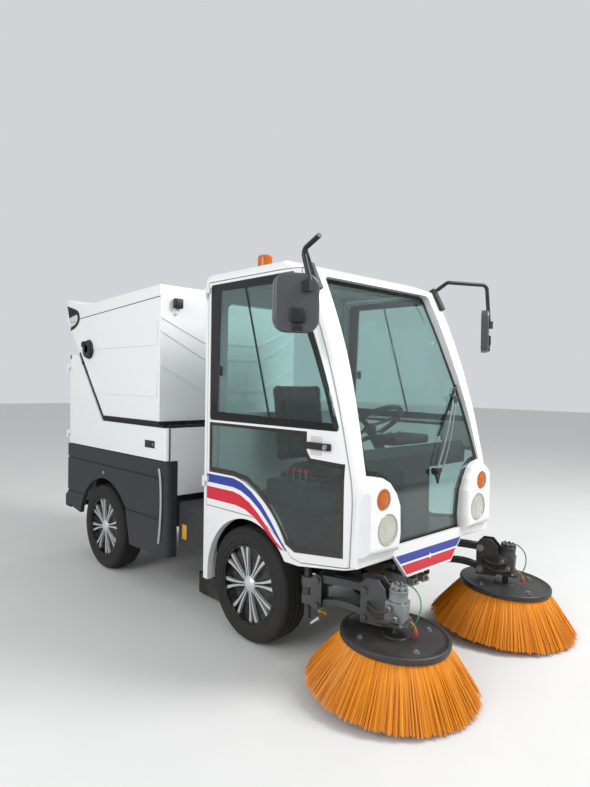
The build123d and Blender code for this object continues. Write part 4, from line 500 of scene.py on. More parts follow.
def facing(point, direction):
    """A place whose z axis points along a direction."""
    return Matrix.Translation(Vector(point)) @ Vector(direction).to_track_quat("Z", "Y").to_matrix().to_4x4()


# %% [markdown]
# A bolt is a hexagon on a washer, which is all that shows of it. Many pieces are only boxes, one
# upright plate or one turned form, and a function for each kind makes such a piece in one call.

# %% Bolts and simple pieces
def bolt(shape, size, places):
    """Hexagon bolts on washers: the size is the head's width, and each place has its z axis out of the metal."""
    part = turned(((0.0, 0.0), (size * 0.85, 0.0), (size * 0.85, size * 0.1), (0.0, size * 0.1)), 16)
    bmesh.ops.create_cone(part, cap_ends=True, segments=6, radius1=size * 0.58, radius2=size * 0.58, depth=size * 0.5,
                          matrix=Matrix.Translation((0, 0, size * 0.35)))
    stamp(shape, part, places)


def boxes(name, finish, body, *corners, place=Matrix()):
    """A piece made of boxes, each given as two opposite corners and its rounding."""
    shape = bmesh.new()
    for corner, opposite, round_by in corners:
        block(shape, corner, opposite, round_by, place)
    return make_piece(name, shape, finish, body)


def side_plate(name, finish, body, outline, y, thickness):
    """A piece cut to an outline of (x, z) points, which stands upright along the truck."""
    shape = bmesh.new()
    plate(shape, [(x, y, z) for x, z in outline], (0, thickness, 0))
    return make_piece(name, shape, finish, body)


def lathe_piece(name, finish, body, profile, steps, places):
    """A piece made of one turned form, repeated at some places."""
    shape = bmesh.new()
    stamp(shape, turned(profile, steps), places)
    return make_piece(name, shape, finish, body)


print("shaping tools ready, edges crisp above", round(math.degrees(SMOOTH_LIMIT)), "degrees")

# %% [markdown]
# Trim such as a window's black border follows the curve of what it sits on. It is drawn flat, its
# edges are divided finely, every point is dropped onto the surface along one direction, and the
# sheet gets a thickness. The drop is a ray cast against the faces of the CAD node.

# %% Tools for trim that lies on a surface
surfaces = {}


def surface_of(node):
    """The faces of a CAD node in the drawing's millimetres, ready for ray casts."""
    if node not in surfaces:
        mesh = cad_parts[node].data
        surfaces[node] = BVHTree.FromPolygons([TO_DRAWING @ vertex.co for vertex in mesh.vertices],
                                              [tuple(polygon.vertices) for polygon in mesh.polygons])
    return surfaces[node]


def divided(outline, step=25.0):
    """The points of a closed outline, with more between them so that none are further apart than a step."""
    points = []
    for start, end in zip(outline, outline[1:] + outline[:1]):
        start, end = Vector(start), Vector(end)
        count = max(1, round((end - start).length / step))
        points += [start.lerp(end, i / count) for i in range(count)]
    return points


def drop(shape, node, look, lift):
    """Drops every point onto a CAD node along a direction, and lifts it off by a distance."""
    look = Vector(look)
    missed = 0
    for vertex in shape.verts:
        hit = surface_of(node).ray_cast(vertex.co, look)[0]
        if hit is None:
            hit = surface_of(node).find_nearest(vertex.co)[0]
            missed += 1
        vertex.co = hit - look * lift
    return missed


def border(outline, width, node, look, lift=0.2, thickness=0.8):
    """A band inside an outline, laid on a CAD node."""
    shape = bmesh.new()
    face = shape.faces.new([shape.verts.new(point) for point in divided(outline)])
    face.normal_update()
    bmesh.ops.inset_region(shape, faces=[face], thickness=width, use_boundary=True, use_even_offset=True)
    bmesh.ops.delete(shape, geom=[max(shape.faces, key=lambda f: len(f.verts))], context="FACES_ONLY")
    missed = drop(shape, node, look, lift)
    bmesh.ops.recalc_face_normals(shape, faces=shape.faces)
    bmesh.ops.solidify(shape, geom=shape.faces[:], thickness=thickness)
    print("band on", node, "has points off its surface:", missed)
    return shape

# %% [markdown]
# ## Glass borders
#
# A vehicle's bonded glass has a black ceramic border that hides the glue. The windscreen's border is
# narrow, and the upper door window's is broad. The lower door window has a bronze edge instead. Each
# is a thin band laid on the glass, because a band of geometry stays crisp at any distance.

# %% Windscreen border
SCREEN_HALF = ((289, 597), (275, 674), (281, 803), (310, 861), (357, 911), (403, 933), (483, 946), (469, 1187),
               (455, 1370), (445, 1495), (433, 1847), (415, 1861))
screen_outline = [(1700.0, y, z) for y, z in SCREEN_HALF] + [(1700.0, -y, z) for y, z in reversed(SCREEN_HALF)]
make_piece("windscreen_border", border(screen_outline, 24.0, "windscreen", (-1, 0, 0)), CERAMIC_BLACK, "chassis")

# %% [markdown]
# A door has a sliding window over a fixed pane. Each border lies between two outlines that are not
# the same shape, so a band of one width would not fit it. The space between the two loops is filled
# with triangles, and laid on the glass in the same way.

# %% Door window borders
UPPER_FRONT = ((1439, 1139), (1400, 1262), (1354, 1383), (1305, 1500), (1250, 1625), (1193, 1750), (1133, 1875))
UPPER_PANE = ((483, 1139),) + UPPER_FRONT + ((483, 1875),)
UPPER_CLEAR = ((551, 1186), (1394, 1173), (1356, 1288), (1310, 1402), (1268, 1500), (1195, 1650), (1108, 1810),
               (1085, 1830), (575, 1836))
LOWER_PANE = ((483, 1126), (483, 853), (700, 853), (800, 842), (880, 806), (955, 750), (1030, 670), (1106, 579),
              (1169, 553), (1473, 591), (1473, 999), (1267, 1005), (1242, 1039), (1242, 1126))
LOWER_CLEAR = ((506, 1110), (506, 880), (700, 880), (812, 866), (896, 826), (973, 768), (1050, 686), (1122, 600),
               (1172, 577), (1452, 612), (1452, 977), (1258, 984), (1220, 1030), (1220, 1110))


def ring_between(outer, inner, y, node, look):
    """A flat band between two outlines of a side window, each given as (x, z) points, laid on the glass."""
    shape = bmesh.new()
    loops = []
    for outline in (outer, inner):
        corners = [shape.verts.new(point) for point in divided([(x, y, z) for x, z in outline])]
        loops.append([shape.edges.new(pair) for pair in zip(corners, corners[1:] + corners[:1])])
    bmesh.ops.triangle_fill(shape, use_beauty=True, use_dissolve=False, edges=loops[0] + loops[1],
                            normal=(0, 1, 0))
    missed = drop(shape, node, look, 0.2)
    bmesh.ops.recalc_face_normals(shape, faces=shape.faces)
    bmesh.ops.solidify(shape, geom=shape.faces[:], thickness=0.8)
    print("band on", node, "has points off its surface:", missed)
    return shape


for name, side in SIDES:
    look = (0, -side, 0)
    glass = f"door_glass_{name}"
    make_piece(f"door_upper_border_{name}", ring_between(UPPER_PANE, UPPER_CLEAR, side * 700, glass, look),
               CERAMIC_BLACK, f"cab_door_{name}")
    make_piece(f"door_lower_border_{name}", ring_between(LOWER_PANE, LOWER_CLEAR, side * 700, glass, look),
               BRONZE_EDGE, f"cab_door_{name}")
    # the meeting edge of the two sliding panes, and the small latch at the rear edge
    slider = bmesh.new()
    plate(slider, [(774, side * 572.3, 1836), (786, side * 572.3, 1836), (983, side * 572.3, 1180),
                   (970, side * 572.3, 1180)], (0, side * 3.0, 0))
    block(slider, (560, side * 572.3, 1380), (592, side * 584, 1432), 4.0)
    make_piece(f"door_slider_{name}", slider, BLACK_ABS, f"cab_door_{name}")

# %% [markdown]
# ## Door handles
#
# A flat black bar lies over a shallow dish in the white panel, with a bright round lock at its front
# end. The bar and dish are boxes with rounded edges, and the lock is turned, because each is plainer
# to make as its own piece than to cut from the door.

# %% Door handles
DOOR_SKIN = 575.0
HANDLE_OUT = 20.0
LOCK_PROFILE = ((0, 3), (4, 3), (4, 1.5), (9, 1.5), (11, 3), (13, 2), (13, -1), (0, -1))
for name, side in SIDES:
    door = f"cab_door_{name}"
    skin, top = side * DOOR_SKIN, side * (DOOR_SKIN + HANDLE_OUT)
    boxes(f"door_handle_{name}", BLACK_ABS, door, ((1254, skin, 1050), (1396, top, 1082), 5.0))
    lathe_piece(f"door_lock_{name}", ZINC, door, LOCK_PROFILE, 24, [facing((1374, top, 1066), (0, side, 0))])
    boxes(f"door_handle_dish_{name}", SHADED_ENAMEL, door,
          ((1268, skin - side * 2, 1022), (1338, skin + side * 1.5, 1110), 1.2))

# %% [markdown]
# ## Stripes
#
# The stripes are cut vinyl film, a blue one over a red one with white between, that narrow to a
# point along the wheel arch. On the front drop they are two blocks with a small notch. Each is a
# thin plate a tenth of a millimetre above the paint, with its curves drawn in short straight steps.

# %% Side and front stripes
BLUE_TOP = ((466, 840), (700, 842), (770, 828), (850, 792), (930, 738), (1000, 672), (1062, 604), (1118, 545))
BLUE_LOW = ((1108, 545), (1050, 596), (985, 655), (915, 712), (840, 757), (765, 785), (700, 795), (466, 795))
RED_TOP = ((466, 772), (700, 772), (762, 762), (835, 734), (905, 690), (975, 635), (1035, 582), (1098, 545))
RED_LOW = ((1072, 545), (1012, 580), (950, 622), (880, 665), (800, 694), (720, 704), (466, 704))
FRONT_BLUE = ((-282, 557), (282, 557), (243, 516), (9, 516), (0, 527), (-9, 516), (-243, 516))
FRONT_RED = ((-235, 506), (-9, 506), (0, 495), (9, 506), (235, 506), (193, 457), (-193, 457))
FILM = 0.4
for name, side in SIDES:
    for label, outline, finish in (("blue", BLUE_TOP + BLUE_LOW, BLUE_FILM), ("red", RED_TOP + RED_LOW, RED_FILM)):
        side_plate(f"door_stripe_{label}_{name}", finish, f"cab_door_{name}", outline, side * (DOOR_SKIN + 0.1),
                   side * FILM)
for label, outline, finish in (("blue", FRONT_BLUE, BLUE_FILM), ("red", FRONT_RED, RED_FILM)):
    stripe = bmesh.new()
    plate(stripe, [(1538.1, y, z) for y, z in outline], (FILM, 0, 0))
    make_piece(f"front_stripe_{label}", stripe, finish, "chassis")

# %% [markdown]
# ## Lamps
#
# Each headlamp is a bright bowl behind a clear moulded lens, and each indicator an amber lens with a
# stepped rim. The bowl is what makes the lens look pale from every side.

# %% Headlamps and indicators
POD_FACE = 1574.0
HEADLAMP = (391.0, 704.0, 69.0)
INDICATOR = (424.0, 843.0, 45.0)
LENS_PROFILE = ((0, 13), (0.35, 12.4), (0.65, 10.4), (0.86, 7.2), (0.95, 4.6), (1, 1), (1, 0), (0.93, 0), (0.84, 3.4),
                (0.62, 6.9), (0.33, 8.9), (0, 9.4))
lenses, bowls, ambers = bmesh.new(), bmesh.new(), bmesh.new()
for _, side in SIDES:
    lamp_y, lamp_z, radius = HEADLAMP
    spot = facing((POD_FACE - 7, side * lamp_y, lamp_z), (1, 0, 0))
    stamp(lenses, turned([(r * radius, h) for r, h in LENS_PROFILE], 48), [spot])
    stamp(bowls, turned(((0, 3), (13, 3), (16, -1.5), (40, 0.5), (60, 3.5), (64, 4.5), (66, 1), (66, -2.6), (0, -2.6)),
                        48), [spot])
    lamp_y, lamp_z, radius = INDICATOR
    spot = facing((POD_FACE - 9.6, side * lamp_y, lamp_z), (1, 0, 0))
    stamp(ambers, turned(((0, 17), (12, 16.4), (24, 14.2), (33, 10), (34, 8), (36, 7.4), (39, 9), (43, 8), (45, 5),
                          (45, 0), (0, 0)), 40), [spot])
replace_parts(make_piece("headlamp_lenses", lenses, CLEAR_LENS, "chassis"), "headlamps")
make_piece("headlamp_bowls", bowls, LAMP_BOWL, "chassis")
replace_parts(make_piece("indicator_lenses", ambers, AMBER_LENS, "chassis"), "indicators")

# %% [markdown]
# The beacon has a ribbed amber dome on a black foot. Inside stands a bright cone, which is the
# mirror that its lamp shines on.

# %% Beacon
BEACON = (626.0, -313.0, 1945.0)
foot, dome, cone = bmesh.new(), bmesh.new(), bmesh.new()
spot = Matrix.Translation(BEACON)
stamp(foot, turned(((0, 1), (52, 1), (52, 12), (47, 20), (46, 26), (44, 30), (0, 30)), 40), [spot])
ribs = [(42 - 1.6 * (i % 2), 30 + i * 6) for i in range(13)]
stamp(dome, turned(ribs + [(38, 110), (30, 116), (14, 117.5), (0, 117.8), (0, 113), (26, 112), (36, 104), (38, 30)], 40,
                   closed=True), [spot])
stamp(cone, turned(((0, 31), (20, 31), (12, 60), (24, 96), (0, 96)), 24), [spot])
make_piece("beacon_foot", foot, BLACK_ABS, "chassis")
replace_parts(make_piece("beacon_dome", dome, AMBER_LENS, "chassis"), "beacon")
make_piece("beacon_reflector", cone, LAMP_BOWL, "chassis")

# %% [markdown]
# ## Wheels
#
# A tyre is a turned form, so its section is drawn once with its bead, sidewall rings, shoulder and
# ribs, and spun. The cross grooves of the tread come from moving every few rows of points inwards
# after the spin. The section is kept inside the CAD tyre, so the truck stands at the same height.

# %% Tyres
TYRE_STEPS = 168
TYRE_HALF = ((203.4, 74), (206, 82), (213, 86.5), (221, 86.6), (224, 84.4), (229, 84.6), (231, 87), (248, 87.4),
             (262, 86.2), (264, 84.2), (268, 84), (270, 85), (277, 82.8), (286, 77.5), (293, 69), (296.6, 60),
             (297.6, 54), (290.5, 52), (290.5, 46), (298.6, 44), (299.6, 23), (291.5, 21), (291.5, 15.5), (299.9, 13.5))
# a point above the first radius and outside the offset is on a shoulder, and one above the second
# radius and inside the offset is on a rib
SHOULDER_RADIUS = 294
RIB_RADIUS = 298
SHOULDER_OFFSET = 43


def tyre(shoulder_cut=5.0, rib_cut=3.0):
    """A tyre about the z axis, with its tread cut across."""
    section = TYRE_HALF + tuple((radius, -offset) for radius, offset in reversed(TYRE_HALF))
    part = turned(section, TYRE_STEPS, closed=True)
    for vertex in part.verts:
        radius = math.hypot(vertex.co.x, vertex.co.y)
        row = round(math.atan2(vertex.co.y, vertex.co.x) / math.tau * TYRE_STEPS)
        offset = abs(vertex.co.z)
        cut = 0.0
        if radius > SHOULDER_RADIUS and offset > SHOULDER_OFFSET and row % 4 == 0:
            cut = shoulder_cut
        elif radius > RIB_RADIUS and offset < SHOULDER_OFFSET and row % 3 == (0 if vertex.co.z > 0 else 1):
            cut = rib_cut
        if cut:
            vertex.co *= Vector(((radius - cut) / radius, (radius - cut) / radius, 1.0))
    return part


for row, axle_x in AXLES:
    for name, side in SIDES:
        shape = bmesh.new()
        stamp(shape, tyre(), [facing((axle_x, side * WHEEL_Y, AXLE_Z), (0, side, 0))])
        piece = make_piece(f"treaded_tyre_{row}_{name}", shape, TYRE_RUBBER, f"wheel_{row}_{name}")
        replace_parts(piece, f"tyre_{row}_{name}")

# %% [markdown]
# ## Brushes
#
# A channel brush is a steel disc with a rolled rim, and bundles of polypropylene strip that splay
# outwards under it. One strand is a slim four-sided bar in three lengths, bent a little outwards.
# A wedge of strands is scattered for each brush from one fixed seed, and stamped round the disc.

# %% Brush discs
LEAN = math.radians(4.0)
ARM_ANGLE = {"right": math.radians(15.0), "left": math.radians(18.0)}
POST = {"right": Vector((1190.0, -500.0, 0.0)), "left": Vector((1190.0, 500.0, 0.0))}
BRUSH_REACH = 443.0
DISC_Z = 249.0


def columns(x, y, z, origin):
    """A place from its three axes and its origin."""
    return Matrix(((x.x, y.x, z.x, origin.x), (x.y, y.y, z.y, origin.y), (x.z, y.z, z.z, origin.z), (0, 0, 0, 1)))


arm, hub = {}, {}
for name, _ in SIDES:
    along = Vector((math.cos(ARM_ANGLE[name]), math.sin(ARM_ANGLE[name]), 0.0))
    left = UP.cross(along)
    arm[name] = columns(along, left, UP, POST[name])
    spin_up = along * math.sin(LEAN) + UP * math.cos(LEAN)
    hub[name] = columns(left.cross(spin_up), left, spin_up, POST[name] + along * BRUSH_REACH + UP * DISC_Z)

DISC_PROFILE = ((0, -8), (212, -8), (236, -12), (241, -10), (243, -4), (243, 11), (241, 15), (236, 17.5), (229, 17),
                (224, 13), (219, 9.5), (200, 8.2), (62, 8.2), (58, 13), (34, 14), (0, 14))
for name, _ in SIDES:
    disc = lathe_piece(f"brush_disc_{name}", DISC_ENAMEL, f"broom_{name}", DISC_PROFILE, 96, [hub[name]])
    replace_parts(disc, f"brush_{name}")
    heads = bmesh.new()
    bolt(heads, 17.0, [hub[name] @ Matrix.Rotation(math.radians(turn), 4, "Z") @ Matrix.Translation((172, 0, 8.2))
                       for turn in (-38, 52, 142, 232)])
    make_piece(f"brush_disc_bolts_{name}", heads, ZINC, f"broom_{name}")

# %% [markdown]
# Bristles could be curves or a hair system, but a mesh can be exported and seen by every tool. Each
# strand has few faces, because there are thousands. Uneven roots, tips and widths are what make a
# brush look used rather than turned.

# %% Bristles
STRAND_LENGTH = 216.0
RINGS = ((226.0, 376.0, 62), (217.0, 352.0, 52), (206.0, 326.0, 42))
WEDGES = 12
# a strand starts a little under the disc, bows outwards, gets narrower to its tip and is flatter than wide
ROOT_DROP = 6.0
BOW = 0.94
TAPER = 0.35
THICKNESS_SHARE = 0.6
scatter = random.Random(12)


def strand(part, angle, root, tip, drop_by, width):
    """One strand from the disc to the ground, wider than thick, with a slight outward bow."""
    across = Vector((-math.sin(angle), math.cos(angle), 0.0))
    out = Vector((math.cos(angle), math.sin(angle), 0.0))
    last = None
    for step in range(4):
        share = step / 3
        radius = root + (tip - root) * (share ** BOW)
        middle = out * radius - UP * (ROOT_DROP + (drop_by - ROOT_DROP) * share)
        half = width * (1.0 - TAPER * share)
        ring = [part.verts.new(middle + across * half), part.verts.new(middle + out * half * THICKNESS_SHARE),
                part.verts.new(middle - across * half), part.verts.new(middle - out * half * THICKNESS_SHARE)]
        if last:
            for i in range(4):
                part.faces.new((last[i], last[(i + 1) % 4], ring[(i + 1) % 4], ring[i]))
        else:
            part.faces.new(ring)
        last = ring
    part.faces.new(list(reversed(last)))


def wedge_of_strands():
    """One twelfth of the bristles, in clumps that part near the ground."""
    part = bmesh.new()
    for root, tip, clumps in RINGS:
        per_wedge = round(clumps * 5 / WEDGES)
        for clump in range(per_wedge):
            middle = (clump + 0.5) / per_wedge * math.tau / WEDGES
            splay = scatter.uniform(-10, 10)
            for _ in range(6):
                angle = middle + scatter.gauss(0, 0.30) * math.tau / WEDGES / per_wedge
                strand(part, angle, root + scatter.uniform(-3, 3), tip + splay + scatter.uniform(-9, 5),
                       STRAND_LENGTH - scatter.uniform(0, 9), scatter.uniform(1.5, 2.3))
    return part


STRANDS = {name: strip_plastic(f"brush_strip_{name}", TO_FRAME @ hub[name].translation) for name, _ in SIDES}
for name, _ in SIDES:
    bristles = bmesh.new()
    stamp(bristles, wedge_of_strands(),
          [hub[name] @ Matrix.Rotation(turn * math.tau / WEDGES, 4, "Z") for turn in range(WEDGES)])
    make_piece(f"bristles_{name}", bristles, STRANDS[name], f"broom_{name}")

# %% [markdown]
# ## Brush arms
#
# The arms are welded plate, so what makes them read as machinery is what is fastened to them: nuts
# at every pivot, a gear motor with a ring of bolts in its lid, hoses and a water nozzle. A hose is a
# smooth curve with a round section, made a mesh so that it can join a piece.

# %% Hose tool
def hose(shape, points, radius, sides=10):
    """A round tube along a smooth curve through a few points, added to a shape."""
    curve = bpy.data.curves.new("run", "CURVE")
    curve.dimensions = "3D"
    spline = curve.splines.new("NURBS")
    spline.points.add(len(points) - 1)
    for point, co in zip(spline.points, points):
        point.co = (*co, 1.0)
    spline.order_u = min(4, len(points))
    spline.use_endpoint_u = True
    spline.resolution_u = 8
    curve.bevel_depth = radius
    curve.bevel_resolution = max(1, sides // 4 - 1)
    curve.use_fill_caps = True
    holder = bpy.data.objects.new("run", curve)
    mesh = bpy.data.meshes.new_from_object(holder)
    shape.from_mesh(mesh)
    bpy.data.objects.remove(holder)
    bpy.data.curves.remove(curve)
    bpy.data.meshes.remove(mesh)


# %% [markdown]
# A hydraulic gear motor drives each brush: a square body under a round lid, with a ring of bolts and
# two hose fittings. Its parts are turned or boxed in the brush's own axes, and one place moves them
# all, so the motor leans with the brush.

# %% Arm nuts, motors and fittings
PIVOTS = ((72.0, "swing"), (312.0, "head"))
MOTOR_FINISH = {"right": MOTOR_GREY, "left": MOTOR_BLACK}
for name, side in SIDES:
    for reach, body in PIVOTS:
        nuts = bmesh.new()
        bolt(nuts, 24.0, [arm[name] @ facing((reach, across * 38.0, height), (0, across, 0))
                          for across in (-1, 1) for height in (438.0, 318.0)])
        make_piece(f"pivot_nuts_{body}_{name}", nuts, ZINC if name == "left" else GUNMETAL, f"{body}_{name}")
    post_nut = bmesh.new()
    bolt(post_nut, 30.0, [facing(POST[name] + UP * 482.0, UP)])
    make_piece(f"post_nut_{name}", post_nut, ZINC, "chassis")
    place = hub[name]
    motor = bmesh.new()
    block(motor, (-43.5, -43.5, 69.6), (43.5, 43.5, 161.5), 8.0, place)
    stamp(motor, turned(((0, 160), (41.6, 160), (41.6, 166), (40.6, 168), (40.6, 200), (42, 202), (42, 208), (38, 212),
                         (0, 212)), 40), [place])
    stamp(motor, turned(((0, 211), (34, 211), (34, 222), (31, 224.4), (20, 224.4), (17, 222.4), (0, 222.4)), 40),
          [place])
    lobes = [place @ Matrix.Rotation(i * math.tau / 8, 4, "Z") @ Matrix.Translation((30, 0, 0)) for i in range(8)]
    stamp(motor, turned(((0, 208), (9.4, 208), (9.4, 224), (8, 225.6), (0, 225.6)), 14), lobes)
    make_piece(f"gear_motor_{name}", motor, MOTOR_FINISH[name], f"head_{name}")
    heads = bmesh.new()
    stamp(heads, turned(((0, 225), (5.4, 225), (5.4, 230), (4.6, 231), (3.2, 231), (3, 228.4), (0, 228.4)), 10),
          lobes)
    bolt(heads, 12.0, [place @ Matrix.Translation((x, y, 70.0)) for x in (-40, 40) for y in (-56, 56)])
    make_piece(f"gear_motor_bolts_{name}", heads, ZINC, f"head_{name}")
    fittings, lines = bmesh.new(), bmesh.new()
    for ahead, height, drift in ((16.0, 100.0, 0.0), (-16.0, 136.0, 22.0)):
        for start, end, radius, sides in ((40, 52, 14, 6), (52, 66, 11, 16), (66, 78, 12.5, 6)):
            rod(fittings, place @ Vector((ahead, -start, height)), place @ Vector((ahead, -end, height)), radius,
                sides=sides)
        route = ((ahead, -74, height), (ahead, -92, height), (ahead - 12, -108, height - 6), (-44, -104, height - 14),
                 (-84, -80, height - 20), (-112, -60, 104 + drift), (-122, -38, 104 + drift))
        hose(lines, [place @ Vector(point) for point in route], 8.0)
    make_piece(f"motor_fittings_{name}", fittings, ZINC, f"head_{name}")
    make_piece(f"motor_hoses_{name}", lines, SOFT_RUBBER, f"head_{name}")

# %% [markdown]
# Each brush has a water spray to lay the dust: a thin green line from the head to a small brass
# nozzle with a red cap, held out over the disc on a bracket.

# %% Water nozzles
NOZZLE_Y = 10.0
WATER_ROUTE = ((-30, 60, 190), (0, 70, 214), (48, 62, 214), (92, 42, 176), (100, 18, 120), (88, 8, 88),
               (80, NOZZLE_Y, 66))
for name, side in SIDES:
    place = hub[name]
    tip, top = place @ Vector((92.0, NOZZLE_Y, 24.0)), place @ Vector((80.0, NOZZLE_Y, 66.0))
    stem, cap, line = bmesh.new(), bmesh.new(), bmesh.new()
    rod(stem, top, top + (tip - top) * 0.45, 5.0, sides=12)
    rod(stem, top + (tip - top) * 0.22, top + (tip - top) * 0.36, 9.5, sides=6)
    rod(stem, top + (tip - top) * 0.45, top + (tip - top) * 0.6, 9.0, sides=6)
    rod(stem, top, top + Vector((-20, 0, 8)), 5.0, sides=12)
    block(stem, (36, NOZZLE_Y - 9, 60), (78, NOZZLE_Y + 9, 64), 1.0, place)
    make_piece(f"water_nozzle_{name}", stem, BRASS, f"head_{name}")
    rod(cap, top + (tip - top) * 0.6, tip, 10.5, tip_radius=8.5, sides=16)
    make_piece(f"water_nozzle_cap_{name}", cap, RED_CAP, f"head_{name}")
    hose(line, [place @ Vector(point) for point in WATER_ROUTE], 3.2, 8)
    make_piece(f"water_line_{name}", line, WATER_HOSE, f"head_{name}")

# %% [markdown]
# Brass water fittings hang from the right arm, and hydraulic valve blocks sit behind the drop in the
# front panel. They are only glimpsed, so round bars, hexagons and boxes are enough.

# %% Spray bar fittings and valve block
spray, spout = bmesh.new(), bmesh.new()
spray_place = arm["right"]
SPRAY_RODS = (((88, -46, 300), (142, -62, 296), 7.0, 12), ((96, -48, 300), (108, -52, 299), 12.0, 6),
              ((124, -57, 297), (136, -60, 296), 12.0, 6), ((116, -40, 300), (114, -84, 288), 6.0, 12),
              ((114, -74, 291), (112, -94, 285), 9.0, 6))
for start, end, radius, sides in SPRAY_RODS:
    rod(spray, spray_place @ Vector(start), spray_place @ Vector(end), radius, sides=sides)
make_piece("spray_fittings", spray, BRASS, "swing_right")
rod(spout, spray_place @ Vector((112, -94, 285)), spray_place @ Vector((84, -118, 262)), 7.5, tip_radius=5.5,
    sides=12)
make_piece("spray_spout", spout, GREY_TUBE, "swing_right")
for name, side in SIDES:
    valve, pipes = bmesh.new(), bmesh.new()
    block(valve, (1310, side * 44 - 28, 352), (1450, side * 44 + 28, 402), 3.0)
    block(valve, (1449, side * 44 - 20, 358), (1486, side * 44 + 20, 394), 3.0)
    rod(valve, (1486, side * 44, 376), (1500, side * 44, 376), 12.0, sides=6)
    for step in range(3):
        rod(valve, (1346 + step * 36, side * 40, 406), (1346 + step * 36, side * 40, 430), 10.0, sides=6)
        hose(pipes, [(1346 + step * 36, side * 40, 428), (1346 + step * 36, side * 40, 452),
                     (1330 + step * 30, side * (70 + 20 * step), 466), (1300, side * (110 + 18 * step), 440),
                     (1240, side * (130 + 18 * step), 410), (1180, side * (132 + 18 * step), 404)], 7.5)
    make_piece(f"valve_block_{name}", valve, ZINC, "chassis")
    make_piece(f"valve_hoses_{name}", pipes, SOFT_RUBBER, "chassis")

# %% [markdown]
# ## Hopper and rear body
#
# A rubber lip closes the joint between the tipping hopper and the body. Part of it is on the hopper,
# and part on the body, so that the joint opens cleanly. Small parts stand on the panels: a filler
# cap, a work lamp, cheeks that shield the discharge hatch, latches and reflectors.

# %% Hopper seal
HOPPER_EDGE = ((-54, 1076), (-819, 1076), (-1213, 1543), (-1197.7, 1555.9), (-809.7, 1096), (-54, 1096))
LID_SEAM = ((-56, 1868.5), (-1236, 1803.2), (-1236, 1808.2), (-56, 1873.5))
BODY_LIP = ((-12, 1059.5), (-820, 1059.5), (-1204.2, 1521.3), (-1196.5, 1521.3), (-819, 1074.4), (-12, 1074.4))
for name, side in SIDES:
    side_plate(f"hopper_edging_{name}", SOFT_RUBBER, "hopper", HOPPER_EDGE, side * 569.0, side * 2.6)
    side_plate(f"body_lip_{name}", SOFT_RUBBER, "chassis", BODY_LIP, side * 548.0, side * 17.0)
    side_plate(f"lid_seam_{name}", SOFT_RUBBER, "hopper", LID_SEAM, side * 568.8, side * 0.9)
    boxes(f"bulkhead_gap_{name}", SOFT_RUBBER, "chassis", ((8.0, side * 541, 858), (31.0, side * 550.3, 1057), 0.4))
boxes("hopper_edging_front", SOFT_RUBBER, "hopper", ((-55.0, -571.0, 1076.0), (-52.4, 571.0, 1096.0), 0.8))
boxes("body_lip_front", SOFT_RUBBER, "chassis", ((-48.0, -540.0, 1059.0), (22.0, 540.0, 1073.0), 3.0))

# %% [markdown]
# The cap is a deep ribless ring with a small lock, and the work lamp a box on a bracket. The cheeks
# beside the discharge hatch are rubber plates with a rolled edge, for which a hose runs round the
# outline.

# %% Filler cap, work lamp and cheeks
cap = bmesh.new()
stamp(cap, turned(((0, 0), (70, 0), (70, 11), (68, 15), (66, 16), (62, 29), (58, 31), (30, 31), (28, 29), (0, 29)), 48),
      [facing((-1043.0, -568.0, 1571.0), (0, -1, 0))])
stamp(cap, turned(((0, 24), (24, 24), (24, 36), (21, 40), (8, 41), (0, 41)), 20),
      [facing((-1085.0, -568.0, 1607.0), (0, -1, 0))])
make_piece("filler_cap", cap, BLACK_ABS, "hopper")
for index, (x, z) in enumerate(((-1159.0, 1475.0), (-977.0, 1276.0))):
    tab = bmesh.new()
    block(tab, (x - 4, -573.0, z - 14), (x + 26, -568.5, z + 14), 2.0)
    bolt(tab, 12.0, [facing((x + 12, -573.0, z), (0, -1, 0))])
    make_piece(f"hopper_tab_{index}", tab, BLACK_ABS, "hopper")
boxes("work_lamp", BLACK_ABS, "hopper", ((-50.0, -486.0, 1802.0), (-22.0, -424.0, 1864.0), 7.0),
      ((-24.0, -480.0, 1808.0), (-15.0, -430.0, 1858.0), 5.0))
bracket = bmesh.new()
block(bracket, (-55.2, -474.0, 1768.0), (-50.0, -446.0, 1842.0), 1.5)
block(bracket, (-55.2, -470.0, 1768.0), (-36.0, -450.0, 1774.0), 1.5)
bolt(bracket, 12.0, [facing((-50.0, -460.0, 1784.0), (1, 0, 0))])
make_piece("work_lamp_bracket", bracket, WHITE_ENAMEL, "hopper")
CHEEK = ((-1436, 1913), (-1352, 1893), (-1270, 1874), (-1240, 1856), (-1224, 1828), (-1223, 1800), (-1242, 1776),
         (-1282, 1751), (-1330, 1738), (-1370, 1731))
CHEEK_PLATE = ((-1396, 1822), (-1262, 1842), (-1246, 1820), (-1250, 1798), (-1286, 1768), (-1374, 1748))
for name, side in SIDES:
    cheek = bmesh.new()
    plate(cheek, [(x, side * 569.2, z) for x, z in CHEEK], (0, side * 3.0, 0))
    hose(cheek, [(x, side * 571.6, z) for x, z in CHEEK], 5.0)
    make_piece(f"tail_cheek_{name}", cheek, SOFT_RUBBER, "hopper")
    side_plate(f"tail_cheek_plate_{name}", SHADED_ENAMEL, "hopper", CHEEK_PLATE, side * 572.4, side * 1.6)
    holes = bmesh.new()
    for x in (-1348, -1308):
        rod(holes, (x, side * 573.9, 1790), (x, side * 574.6, 1790), 7.0, sides=16)
    make_piece(f"tail_cheek_holes_{name}", holes, BLACK_ABS, "hopper")

# %% [markdown]
# These small parts catch the light along the flank. Each rides with the panel that it is fixed to:
# latches, locks and markers with the side covers, and the rest with the chassis.

